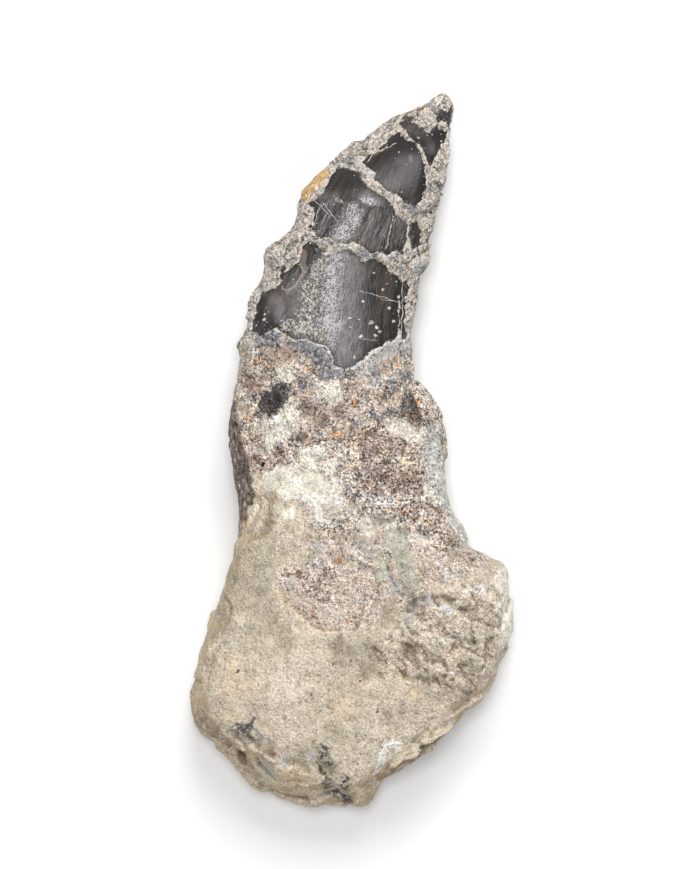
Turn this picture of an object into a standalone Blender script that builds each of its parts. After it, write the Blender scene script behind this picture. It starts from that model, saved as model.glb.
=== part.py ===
"""A fossil theropod tooth lying on its back, its root held in a broken block of siltstone.

Two solids: "tooth", one crown and root, and "matrix", the rock that grips the root.
The tip points along +Y, the better side faces +Z, and the block rests on Z = 0.
Lengths below are millimetres; MM turns them into Blender's metres.
"""

import bmesh
import bpy
import numpy as np
from mathutils import Vector, noise

MM = 0.001

# Driving dimensions of the whole specimen.
LENGTH = 142.6
WIDTH = 64.2
TIP_Y = LENGTH / 2
FOOT_Y = -LENGTH / 2
SOCKET_GAP = 0.4

# Sections of the tooth from tip to root end:
# station along Y, left edge, right edge, height of the middle, half depth, corner power.
TOOTH_SECTIONS = [
    (TIP_Y, 18.3, 19.5, 10.6, 0.6, 2.0),
    (71.0, 17.5, 20.2, 10.6, 1.1, 2.0),
    (70.2, 16.6, 20.9, 10.7, 1.7, 2.0),
    (69.0, 15.2, 21.4, 10.7, 2.3, 2.0),
    (67.5, 11.0, 21.7, 10.8, 2.9, 2.0),
    (65.0, 7.2, 21.2, 10.9, 3.7, 2.0),
    (60.1, 0.1, 20.4, 11.2, 5.1, 1.9),
    (55.1, -5.5, 19.7, 11.5, 6.3, 1.9),
    (50.3, -9.7, 18.5, 11.8, 7.2, 1.9),
    (47.9, -10.3, 17.7, 11.9, 7.6, 1.9),
    (43.1, -11.8, 16.7, 12.1, 8.3, 1.9),
    (41.0, -15.0, 16.5, 12.2, 8.6, 1.9),
    (38.3, -16.4, 15.7, 12.3, 8.9, 1.9),
    (33.7, -17.3, 13.9, 12.4, 9.3, 1.95),
    (31.3, -19.1, 14.1, 12.4, 9.5, 1.95),
    (26.3, -20.1, 13.3, 12.5, 9.8, 2.0),
    (23.3, -20.7, 12.6, 12.5, 9.9, 2.1),
    (21.5, -21.7, 12.6, 12.5, 10.1, 2.2),
    (16.5, -22.0, 12.9, 12.5, 10.2, 2.2),
    (11.9, -22.9, 13.2, 12.4, 10.1, 2.2),
    (4.5, -23.9, 13.2, 12.3, 9.8, 2.2),
    (0.0, -23.9, 12.8, 12.2, 9.5, 2.2),
    (-4.5, -23.3, 12.2, 12.1, 9.2, 2.2),
    (-9.7, -22.2, 11.2, 12.0, 8.8, 2.2),
    (-14.5, -21.9, 9.6, 11.9, 8.2, 2.2),
    (-19.0, -21.8, 7.2, 11.8, 7.2, 2.2),
    (-23.0, -19.4, 3.4, 11.7, 5.4, 2.1),
    (-26.0, -14.0, -3.0, 11.7, 2.4, 2.0),
]
# Sections of the rock before its edges break away:
# station, left edge, right edge, height of the rim, height of the top, corner power.
MATRIX_SECTIONS = [
    (14.4, -22.6, 14.8, 12.0, 22.4, 2.6),
    (12.0, -22.6, 17.0, 12.0, 23.1, 2.7),
    (9.0, -22.6, 18.8, 12.0, 23.6, 2.8),
    (4.0, -22.6, 19.2, 12.0, 24.1, 2.9),
    (-4.0, -22.6, 19.2, 11.8, 24.6, 3.0),
    (-8.0, -22.6, 20.2, 11.7, 24.8, 3.0),
    (-12.5, -22.6, 22.2, 11.6, 25.0, 3.1),
    (-18.0, -22.7, 23.8, 11.4, 25.2, 3.2),
    (-20.4, -23.1, 25.2, 11.3, 25.3, 3.3),
    (-21.6, -23.7, 29.2, 11.2, 25.3, 3.4),
    (-23.2, -24.4, 31.2, 11.1, 25.3, 3.5),
    (-26.0, -25.2, 32.0, 11.0, 25.2, 3.6),
    (-31.0, -26.6, 32.4, 10.8, 25.0, 3.7),
    (-36.5, -28.3, 32.0, 10.5, 24.6, 3.7),
    (-41.0, -29.4, 30.8, 10.2, 24.1, 3.7),
    (-45.5, -31.0, 28.6, 9.9, 23.5, 3.6),
    (-49.5, -32.1, 26.3, 9.6, 22.9, 3.5),
    (-52.5, -32.0, 23.9, 9.4, 22.4, 3.5),
    (-57.0, -29.2, 20.3, 9.1, 21.6, 3.4),
    (-60.5, -25.4, 17.3, 8.9, 20.9, 3.3),
    (-64.5, -21.0, 10.0, 8.6, 20.0, 3.2),
    (-67.5, -18.0, 6.2, 8.4, 19.2, 3.0),
    (-69.6, -13.6, 4.5, 8.2, 18.2, 2.8),
    (FOOT_Y, -6.0, 3.0, 8.0, 13.0, 2.4),
]
# Where the rock's upper end stops on the tooth, from left to right: (X, Y).
MATRIX_TOP_EDGE = [(-24, -21), (-21.5, -18), (-18, -5), (-13, 1.5), (-3, 5.5), (8, 8.5), (13, 13.5), (16, 12), (20, 4)]
MATRIX_TOP_FADE_Y = -22.0

# Openings in the crust of rock left on the crown, where dark enamel shows on the front: outlines in X, Y.
ENAMEL_WINDOWS = {
    "lower": [(-19.7, 23.9), (-19.3, 27.1), (-18.1, 31.3), (-15.5, 31.7), (-10.1, 37.5), (-9.5, 40.8), (-5.9, 38.3),
              (0.5, 38.9), (3.0, 36.9), (8.0, 35.4), (10.9, 32.9), (10.0, 29.3), (10.1, 22.5), (6.9, 21.7),
              (3.1, 18.9), (0.7, 16.5), (-2.5, 16.5), (-4.3, 20.0), (-8.1, 22.3), (-16.1, 23.5)],
    "middle": [(-8.9, 49.3), (-4.9, 52.9), (-3.3, 56.1), (0.7, 55.3), (2.9, 52.5), (7.3, 50.1), (8.7, 46.4),
               (11.8, 44.5), (10.9, 39.1), (6.1, 39.6), (2.3, 41.5), (-4.3, 42.3), (-6.9, 42.7), (-7.3, 47.1)],
    "upper": [(2.1, 55.9), (6.9, 61.7), (9.5, 63.1), (13.3, 60.5), (14.9, 57.1), (15.5, 52.3), (12.9, 48.9),
              (7.7, 51.3), (4.7, 53.5), (5.3, 55.7)],
    "top": [(10.3, 65.1), (12.1, 65.3), (14.7, 62.9), (17.1, 64.3), (19.6, 63.5), (18.7, 60.5), (16.7, 56.9),
            (13.3, 61.5), (10.5, 63.5)],
}
BACK_WINDOW_SHIFT = (1.6, -2.2)
CRUST_THICKNESS = 1.0
CRUST_EDGE = 0.6
CRUST_FOOT_Y = (14.0, 22.0)

# Flat breaks round the block:
# (point on the break, compass angle of its outward normal, tilt above the horizon, how far the break runs).
FRACTURES = [
    ((-23.0, -57.6, 19.6), -132, 24, 17),
    ((11.0, -61.0, 18.5), -56, 14, 15),
    ((-5.0, -67.2, 17.0), -94, 34, 13),
    ((26.5, -48.0, 20.5), -34, 30, 15),
    ((30.4, -37.0, 20.8), -8, 26, 13),
    ((30.6, -27.0, 21.4), 14, 30, 9),
    ((-26.4, -41.0, 21.4), 172, 30, 16),
    ((-23.0, -27.5, 22.2), 166, 26, 12),
    ((-28.6, -53.5, 18.8), -166, 30, 9),
    ((18.2, -3.0, 19.8), 14, 34, 12),
    ((21.0, -15.5, 21.0), 24, 38, 9),
    ((-26.0, -59.0, 2.6), -128, -38, 16),
    ((21.0, -57.0, 2.6), -42, -34, 18),
    ((31.0, -31.0, 2.4), 4, -40, 14),
    ((-29.6, -45.0, 2.2), 182, -34, 16),
    ((-4.0, -69.6, 2.4), -90, -36, 14),
    ((18.0, 2.0, 2.4), 8, -38, 14),
]
# Hollows and swellings: (centre, radius, height of the swelling).
MATRIX_LUMPS = [
    ((22.0, -31.0, 24.5), 7.0, 0.9),
    ((14.0, -43.5, 24.0), 6.0, -0.9),
    ((27.0, -40.5, 22.0), 4.5, 0.8),
    ((9.0, -27.0, 25.0), 5.0, 0.7),
    ((-6.0, -32.5, 25.0), 8.0, -0.8),
    ((-12.0, -48.0, 23.0), 10.0, 0.6),
    ((-22.5, -61.5, 16.0), 3.6, -1.2),
    ((-10.0, -63.5, 19.0), 4.5, -0.8),
    ((14.0, -61.5, 13.0), 5.0, -1.4),
    ((0.0, -20.0, 25.0), 6.0, 0.5),
]
TOOTH_LUMPS = [
    ((-15.5, 9.5, 20.6), 3.2, -1.1),
    ((-15.5, 38.0, 15.5), 3.6, 0.9),
    ((14.2, 37.0, 15.0), 2.8, 0.8),
    ((-19.0, 16.0, 17.5), 4.0, 0.6),
    ((10.0, 13.0, 20.0), 4.5, 0.6),
    ((-4.0, 11.0, 22.5), 5.0, 0.4),
    ((13.5, 48.5, 15.5), 3.0, 0.5),
    ((18.6, 70.0, 11.5), 1.6, 0.3),
]
REST_DEPTH = 0.7

TOOTH_AROUND = 44
MATRIX_AROUND = 46
CROWN_RING_STEP = 1.5
ROOT_RING_STEP = 2.6
MATRIX_RING_STEP = 2.4
CROWN_FOOT_Y = 10.0
SECTION_SAMPLES = 360


def along(points, at):
    """Smooth curve through (station, value) points with rising stations, read at the stations asked for."""
    station, value = np.array(points, float).T
    slope = np.gradient(value, station)
    left = np.clip(np.searchsorted(station, at) - 1, 0, len(station) - 2)
    span = station[left + 1] - station[left]
    t = np.clip((at - station[left]) / span, 0, 1)
    start = value[left] * (1 + 2 * t) + slope[left] * span * t
    end = value[left + 1] * (3 - 2 * t) - slope[left + 1] * span * (1 - t)
    return start * (1 - t) ** 2 + end * t**2


def section_values(sections, y):
    """The columns of a section table, after its station, read smoothly at y."""
    table = np.array(sections[::-1], float)
    return [float(along(table[:, [0, column]], np.array(y))) for column in range(1, table.shape[1])]


def ring(left, right, middle, up, down, power, count):
    """Evenly spaced points of one rounded cross-section, as rows of X and Z."""
    angle = np.linspace(0, 2 * np.pi, SECTION_SAMPLES + 1)
    across, high = np.cos(angle), np.sin(angle)
    x = (left + right) / 2 + (right - left) / 2 * np.sign(across) * np.abs(across) ** (2 / power)
    z = middle + np.where(high > 0, up, down) * np.sign(high) * np.abs(high) ** (2 / power)
    walked = np.concatenate([[0], np.cumsum(np.hypot(np.diff(x), np.diff(z)))])
    steps = np.linspace(0, walked[-1], count, endpoint=False)
    return np.column_stack([np.interp(steps, walked, x), np.interp(steps, walked, z)])


def loft(stations, ring_at):
    """A closed bmesh through the rings at these stations, with both ends fanned to a point."""
    mesh = bmesh.new()
    rings = []
    for y in stations:
        rings.append([mesh.verts.new((x, y, z)) for x, z in ring_at(y)])
    for upper, lower in zip(rings, rings[1:]):
        for k in range(len(upper)):
            mesh.faces.new((upper[k - 1], upper[k], lower[k], lower[k - 1]))
    caps = [mesh.faces.new(rings[0][::-1]), mesh.faces.new(rings[-1])]
    bmesh.ops.poke(mesh, faces=caps)
    bmesh.ops.recalc_face_normals(mesh, faces=mesh.faces)
    mesh.normal_update()
    return mesh


def smooth_step(value, low, high):
    t = min(max((value - low) / (high - low), 0.0), 1.0)
    return t * t * (3 - 2 * t)


def outline_distance(x, y, outline):
    """Distance from a point to a closed outline, positive inside it."""
    corners = np.array(outline, float)
    nexts = np.roll(corners, -1, axis=0)
    edge = nexts - corners
    offset = np.array([x, y]) - corners
    t = np.clip((offset * edge).sum(axis=1) / (edge * edge).sum(axis=1), 0, 1)
    nearest = np.hypot(*(offset - edge * t[:, None]).T).min()
    crosses = (corners[:, 1] > y) != (nexts[:, 1] > y)
    rise = np.where(edge[:, 1] == 0, 1e-9, edge[:, 1])
    inside = (crosses & (x < corners[:, 0] + edge[:, 0] * (y - corners[:, 1]) / rise)).sum() % 2
    return nearest if inside else -nearest


def lump(point, lumps):
    """Height of the hollows and swellings at a point."""
    total = 0.0
    for centre, radius, height in lumps:
        share = (point - Vector(centre)).length / radius
        total += height * max(0.0, 1 - share * share) ** 2 if share < 1 else 0.0
    return total


def roughness(point, size, seed):
    """Smooth noise between about -1 and 1 with bumps of this size."""
    return noise.noise(point / size + Vector((seed, seed * 1.7, -seed))) * 1.6


def crust_height(point, normal):
    """Thickness of the rock crust on the crown: nothing where enamel shows, full elsewhere."""
    x, y = point.x, point.y
    if normal.z < 0:
        x, y = x - BACK_WINDOW_SHIFT[0], y - BACK_WINDOW_SHIFT[1]
    x += 0.5 * roughness(point, 1.8, 3.1)
    y += 0.5 * roughness(point, 1.8, 7.7)
    bare = max(outline_distance(x, y, outline) for outline in ENAMEL_WINDOWS.values())
    cover = 1 - smooth_step(bare, -CRUST_EDGE / 2, CRUST_EDGE / 2)
    tip_share = smooth_step(TIP_Y - point.y, 0.0, 12.0)
    return CRUST_THICKNESS * cover * (0.45 + 0.55 * tip_share)


def shape_tooth(mesh):
    """Adds the crust, lumps and root grain to the plain tooth."""
    moves = []
    for vertex in mesh.verts:
        point, normal = vertex.co, vertex.normal
        root_share = 1 - smooth_step(point.y, *CRUST_FOOT_Y)
        crust = crust_height(point, normal)
        grain = 0.22 * roughness(point, 2.2, 1.3) + 0.3 * roughness(point, 5.0, 5.9)
        height = crust - CRUST_THICKNESS
        height += grain * (root_share + (1 - root_share) * min(crust, 1.0) * 0.7)
        moves.append(normal * (height + lump(point, TOOTH_LUMPS)))
    for vertex, move in zip(mesh.verts, moves):
        vertex.co += move


def lean_upper_end(mesh):
    """Slants the rock's upper end so that it stops along MATRIX_TOP_EDGE."""
    top = MATRIX_SECTIONS[0][0]
    for vertex in mesh.verts:
        x, y = vertex.co.x, vertex.co.y
        fade = max(0.0, (y - MATRIX_TOP_FADE_Y) / (top - MATRIX_TOP_FADE_Y))
        edge = float(along(MATRIX_TOP_EDGE, np.array(x)))
        vertex.co.y += (edge - top) * fade


def break_edges(mesh):
    """Moves what lies outside each fracture onto its plane, less and less towards the end of its run."""
    for point, compass, tilt, run in FRACTURES:
        turn, rise = np.radians(compass), np.radians(tilt)
        normal = Vector((np.cos(turn) * np.cos(rise), np.sin(turn) * np.cos(rise), np.sin(rise)))
        for vertex in mesh.verts:
            offset = vertex.co - Vector(point)
            outside = offset.dot(normal)
            if outside > 0:
                vertex.co -= normal * outside * (1 - smooth_step(offset.length, 0.7 * run, run))


def shape_matrix(mesh):
    """Breaks, roughens and beds the plain block."""
    lean_upper_end(mesh)
    break_edges(mesh)
    mesh.normal_update()
    moves = []
    for vertex in mesh.verts:
        point, normal = vertex.co, vertex.normal
        front = smooth_step(normal.z, 0.5, 0.9)
        coarse = 0.55 * roughness(point, 9.0, 2.3) + 0.3 * roughness(point, 4.0, 8.1)
        height = coarse * (1 - 0.45 * front) + lump(point, MATRIX_LUMPS)
        moves.append(normal * height)
    for vertex, move in zip(mesh.verts, moves):
        vertex.co += move
        vertex.co.z = max(vertex.co.z - REST_DEPTH, 0.0)


def fit_length_and_width(meshes):
    """Scales all the shapes together to the driving length and width, centred on the origin."""
    places = np.array([vertex.co for mesh in meshes for vertex in mesh.verts])
    low, high = places.min(axis=0), places.max(axis=0)
    middle = (low + high) / 2
    stretch = np.array([WIDTH, LENGTH]) / (high - low)[:2]
    for mesh in meshes:
        for vertex in mesh.verts:
            vertex.co.x = (vertex.co.x - middle[0]) * stretch[0]
            vertex.co.y = (vertex.co.y - middle[1]) * stretch[1]


def make_object(name, mesh, material):
    """A smooth-shaded object, in metres, from a bmesh in millimetres."""
    bmesh.ops.scale(mesh, vec=(MM, MM, MM), verts=mesh.verts)
    data = bpy.data.meshes.new(name)
    mesh.to_mesh(data)
    data.materials.append(material)
    data.shade_smooth()
    made = bpy.data.objects.new(name, data)
    bpy.context.scene.collection.objects.link(made)
    return made


def make_material(name, colour, roughness_value):
    material = bpy.data.materials.new(name)
    material.use_nodes = True
    shader = material.node_tree.nodes["Principled BSDF"]
    shader.inputs["Base Color"].default_value = (*colour, 1)
    shader.inputs["Roughness"].default_value = roughness_value
    shader.inputs["Metallic"].default_value = 0.0
    return material


def tooth_mesh():
    crown = np.arange(67.5, CROWN_FOOT_Y, -CROWN_RING_STEP)
    root = np.arange(CROWN_FOOT_Y, -26.0, -ROOT_RING_STEP)
    stations = [71.25, 70.7, 69.9, 68.9, *crown, *root, -26.0]

    def ring_at(y):
        left, right, middle, half_depth, power = section_values(TOOTH_SECTIONS, y)
        return ring(left, right, middle, half_depth, half_depth, power, TOOTH_AROUND)

    mesh = loft(stations, ring_at)
    shape_tooth(mesh)
    return mesh


def matrix_mesh():
    top = MATRIX_SECTIONS[0][0]
    body = np.arange(top, FOOT_Y + 1.5, -MATRIX_RING_STEP)
    stations = [*body, FOOT_Y + 1.2, FOOT_Y + 0.3]

    def ring_at(y):
        left, right, rim, height, power = section_values(MATRIX_SECTIONS, y)
        return ring(left, right, rim, height - rim, rim, power, MATRIX_AROUND)

    mesh = loft(stations, ring_at)
    shape_matrix(mesh)
    return mesh


def socket_cutter(mesh):
    """The tooth grown by the socket gap, hidden, to hollow the rock round the root."""
    grown = mesh.copy()
    grown.normal_update()
    for vertex, normal in zip(grown.verts, [vertex.normal.copy() for vertex in grown.verts]):
        vertex.co += normal * SOCKET_GAP
    cutter = make_object("socket_cutter", grown, None)
    cutter.hide_render = True
    cutter.display_type = "WIRE"
    return cutter


def main():
    for old in list(bpy.data.objects):
        bpy.data.objects.remove(old)
    tooth, matrix = tooth_mesh(), matrix_mesh()
    fit_length_and_width([tooth, matrix])
    cutter = socket_cutter(tooth)
    make_object("tooth", tooth, make_material("fossil tooth", (0.11, 0.095, 0.085), 0.38))
    block = make_object("matrix", matrix, make_material("siltstone", (0.46, 0.40, 0.31), 0.88))
    socket = block.modifiers.new("Root socket", "BOOLEAN")
    socket.operation = "DIFFERENCE"
    socket.object = cutter


main()
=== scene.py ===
"""Looks of the fossil theropod tooth: enamel, rock crust and siltstone block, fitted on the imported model.

Everything is worked out in millimetres, in the model's own frame (X right, Y to the tip, Z up),
and turned into metres when a mesh is made. "Front" is the side that faces up.
"""

import bmesh
import bpy
import numpy as np
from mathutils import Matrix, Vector
from mathutils.bvhtree import BVHTree


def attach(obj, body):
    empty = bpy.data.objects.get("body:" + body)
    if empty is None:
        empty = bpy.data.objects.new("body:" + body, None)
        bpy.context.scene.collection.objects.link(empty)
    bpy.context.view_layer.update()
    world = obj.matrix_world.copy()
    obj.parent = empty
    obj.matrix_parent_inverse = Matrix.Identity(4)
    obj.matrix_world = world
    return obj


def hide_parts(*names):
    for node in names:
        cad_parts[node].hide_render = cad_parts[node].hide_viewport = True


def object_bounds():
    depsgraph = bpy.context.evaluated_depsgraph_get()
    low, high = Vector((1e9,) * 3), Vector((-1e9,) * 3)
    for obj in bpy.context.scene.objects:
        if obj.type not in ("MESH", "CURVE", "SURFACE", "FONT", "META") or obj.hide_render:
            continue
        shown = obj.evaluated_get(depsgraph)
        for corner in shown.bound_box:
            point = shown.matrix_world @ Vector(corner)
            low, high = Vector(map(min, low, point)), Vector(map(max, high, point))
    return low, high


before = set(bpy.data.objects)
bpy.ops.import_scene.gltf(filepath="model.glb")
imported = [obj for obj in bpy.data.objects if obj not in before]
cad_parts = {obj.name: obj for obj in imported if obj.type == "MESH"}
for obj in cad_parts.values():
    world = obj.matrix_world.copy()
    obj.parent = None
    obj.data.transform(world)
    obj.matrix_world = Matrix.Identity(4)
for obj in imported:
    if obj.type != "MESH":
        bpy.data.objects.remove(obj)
cad_box = [list(corner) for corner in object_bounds()]

MM = 0.001
TIP_Y = cad_box[1][1] / MM

# ---------------------------------------------------------------- noise

# More grain sizes than the nearest grain is ever away.
FAR = 9.0


def hashed(cell, seed):
    """A repeatable random number from 0 to 1 for each row of whole numbers."""
    x, y, z = (cell[:, k].astype(np.uint32) for k in range(3))
    mixed = x * np.uint32(374761393) + y * np.uint32(668265263) + z * np.uint32(2246822519)
    mixed += np.uint32(seed * 3266489917 % 4294967296)
    for shift in (15, 13):
        mixed = (mixed ^ (mixed >> np.uint32(shift))) * np.uint32(2654435761)
    return (mixed ^ (mixed >> np.uint32(16))) / 4294967295.0


def noise(points, size, seed):
    """Smooth noise, about -1 to 1, with bumps of this size."""
    scaled = points / size
    cell = np.floor(scaled).astype(np.int64)
    inside = scaled - cell
    ease = inside**3 * (inside * (inside * 6 - 15) + 10)
    total = np.zeros(len(points))
    for corner in np.ndindex(2, 2, 2):
        corner = np.array(corner)
        slope = np.column_stack([hashed(cell + corner, seed + axis) for axis in range(3)]) * 2 - 1
        share = np.prod(np.where(corner == 1, ease, 1 - ease), axis=1)
        total += share * ((inside - corner) * slope).sum(axis=1)
    return total * 1.7


def layered(points, size, seed, layers=3, gain=0.5):
    """Noise of this size with finer and weaker layers on top."""
    return sum(gain**k * noise(points, size / 2**k, seed + 10 * k) for k in range(layers))


def nearby_grains(points, size, seed):
    """For each cell round the points: the cell, the way from its grain's centre, and that way's length."""
    scaled = points / size
    cell = np.floor(scaled).astype(np.int64)
    for corner in np.ndindex(3, 3, 3):
        near = cell + np.array(corner) - 1
        way = scaled - (near + np.column_stack([hashed(near, seed + axis) for axis in range(3)]))
        yield near, way, np.linalg.norm(way, axis=1)


def grains(points, size, seed):
    """Distances to the nearest two grain centres, in grain sizes, and the nearest grain's random number."""
    first = np.full(len(points), FAR)
    second = first.copy()
    name = np.zeros(len(points))
    for near, _, away in nearby_grains(points, size, seed):
        closer = away < first
        second = np.where(closer, first, np.minimum(second, away))
        name = np.where(closer, hashed(near, seed + 3), name)
        first = np.minimum(first, away)
    return first, second, name


def step(value, low, high):
    """Rises smoothly from 0 at low to 1 at high."""
    t = np.clip((value - low) / (high - low), 0, 1)
    return t * t * (3 - 2 * t)


def segment_distance(x, y, start, end):
    """Distance to the straight line between two points."""
    (ax, ay), (bx, by) = start, end
    ex, ey = bx - ax, by - ay
    t = np.clip(((x - ax) * ex + (y - ay) * ey) / (ex * ex + ey * ey), 0, 1)
    return np.hypot(x - ax - ex * t, y - ay - ey * t)


def outline_distance(x, y, outline):
    """Distance to a closed outline, positive inside it."""
    corners = np.array(outline, float)
    nearest = np.full(len(x), 1e9)
    inside = np.zeros(len(x), bool)
    for (ax, ay), (bx, by) in zip(corners, np.roll(corners, -1, axis=0)):
        nearest = np.minimum(nearest, segment_distance(x, y, (ax, ay), (bx, by)))
        if by != ay:
            inside ^= ((ay > y) != (by > y)) & (x < ax + (bx - ax) * (y - ay) / (by - ay))
    return np.where(inside, nearest, -nearest)


def hill(value, centre, width):
    """1 at the centre value, falling off on both sides over about this width."""
    return np.exp(-(((value - centre) / width) ** 2))


def line_distance(x, y, line):
    """Distance to an open line of points."""
    nearest = np.full(len(x), 1e9)
    for start, end in zip(line, line[1:]):
        nearest = np.minimum(nearest, segment_distance(x, y, start, end))
    return nearest


def ragged_distance(points, outline, shift, size, seed):
    """Distance to an outline that wanders by this shift in waves of this size, positive inside it."""
    x, y = (points[:, axis] + shift * noise(points, size, seed + axis) for axis in (0, 1))
    return outline_distance(x, y, outline)


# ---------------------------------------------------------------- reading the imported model


class Shape:
    """A closed triangle mesh as arrays of corners, edges and faces, in millimetres."""

    def __init__(self, source):
        """source: a bmesh in metres, which is freed."""
        bmesh.ops.triangulate(source, faces=source.faces)
        source.verts.index_update()
        self.points = np.array([vertex.co for vertex in source.verts]) / MM
        self.edges = np.array([[vertex.index for vertex in edge.verts] for edge in source.edges])
        self.faces = np.array([[vertex.index for vertex in face.verts] for face in source.faces])
        source.free()

    def normals(self):
        a, b, c = (self.points[self.faces[:, k]] for k in range(3))
        face_normal = np.cross(b - a, c - a)
        total = np.zeros_like(self.points)
        for k in range(3):
            for axis in range(3):
                total[:, axis] += np.bincount(self.faces[:, k], face_normal[:, axis], len(total))
        return total / np.maximum(np.linalg.norm(total, axis=1), 1e-12)[:, None]

    def spread(self, values, rounds):
        """The values averaged with their neighbours this many times."""
        values = np.array(values, float).reshape(len(self.points), -1)
        a, b = self.edges.T
        count = np.bincount(a, minlength=len(values)) + np.bincount(b, minlength=len(values))
        for _ in range(rounds):
            near = np.zeros_like(values)
            for column in range(values.shape[1]):
                near[:, column] = np.bincount(a, values[b, column], len(values))
                near[:, column] += np.bincount(b, values[a, column], len(values))
            values = (values + near / count[:, None]) / 2
        return values if values.shape[1] > 1 else values[:, 0]

    def tree(self):
        return BVHTree.FromPolygons(self.points.tolist(), self.faces.tolist())


def packed(name):
    """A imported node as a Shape, its doubled corners merged."""
    source = bmesh.new()
    source.from_mesh(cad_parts[name].data)
    bmesh.ops.remove_doubles(source, verts=source.verts, dist=1e-7)
    return Shape(source)


def slice_range(shape, y):
    """Lowest and highest X, then Z, where the shape crosses the plane at this Y."""
    a, b = (shape.points[shape.edges[:, k]] for k in range(2))
    crossing = (a[:, 1] - y) * (b[:, 1] - y) < 0
    a, b = a[crossing], b[crossing]
    cut = a + (b - a) * ((y - a[:, 1]) / (b[:, 1] - a[:, 1]))[:, None]
    return cut[:, 0].min(), cut[:, 0].max(), cut[:, 2].min(), cut[:, 2].max()


def smoothed(values, spacing, width):
    """Columns of values blurred along their rows, over about this width."""
    reach = int(3 * width / spacing) + 1
    weight = np.exp(-0.5 * (np.arange(-reach, reach + 1) * spacing / width) ** 2)
    padded = np.pad(values, ((reach, reach), (0, 0)), mode="reflect", reflect_type="odd")
    columns = [np.convolve(column, weight / weight.sum(), mode="valid") for column in padded.T]
    return np.array(columns).T


def make_piece(name, points, faces, material):
    """An object, in metres, from corners in millimetres."""
    data = bpy.data.meshes.new(name)
    data.from_pydata((points * MM).tolist(), [], [list(map(int, face)) for face in faces])
    data.validate()
    data.materials.append(material)
    data.shade_smooth()
    made = bpy.data.objects.new(name, data)
    bpy.context.scene.collection.objects.link(made)
    return made


tooth_shape = packed("tooth")
matrix_shape = packed("matrix")

# ---------------------------------------------------------------- materials


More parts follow.
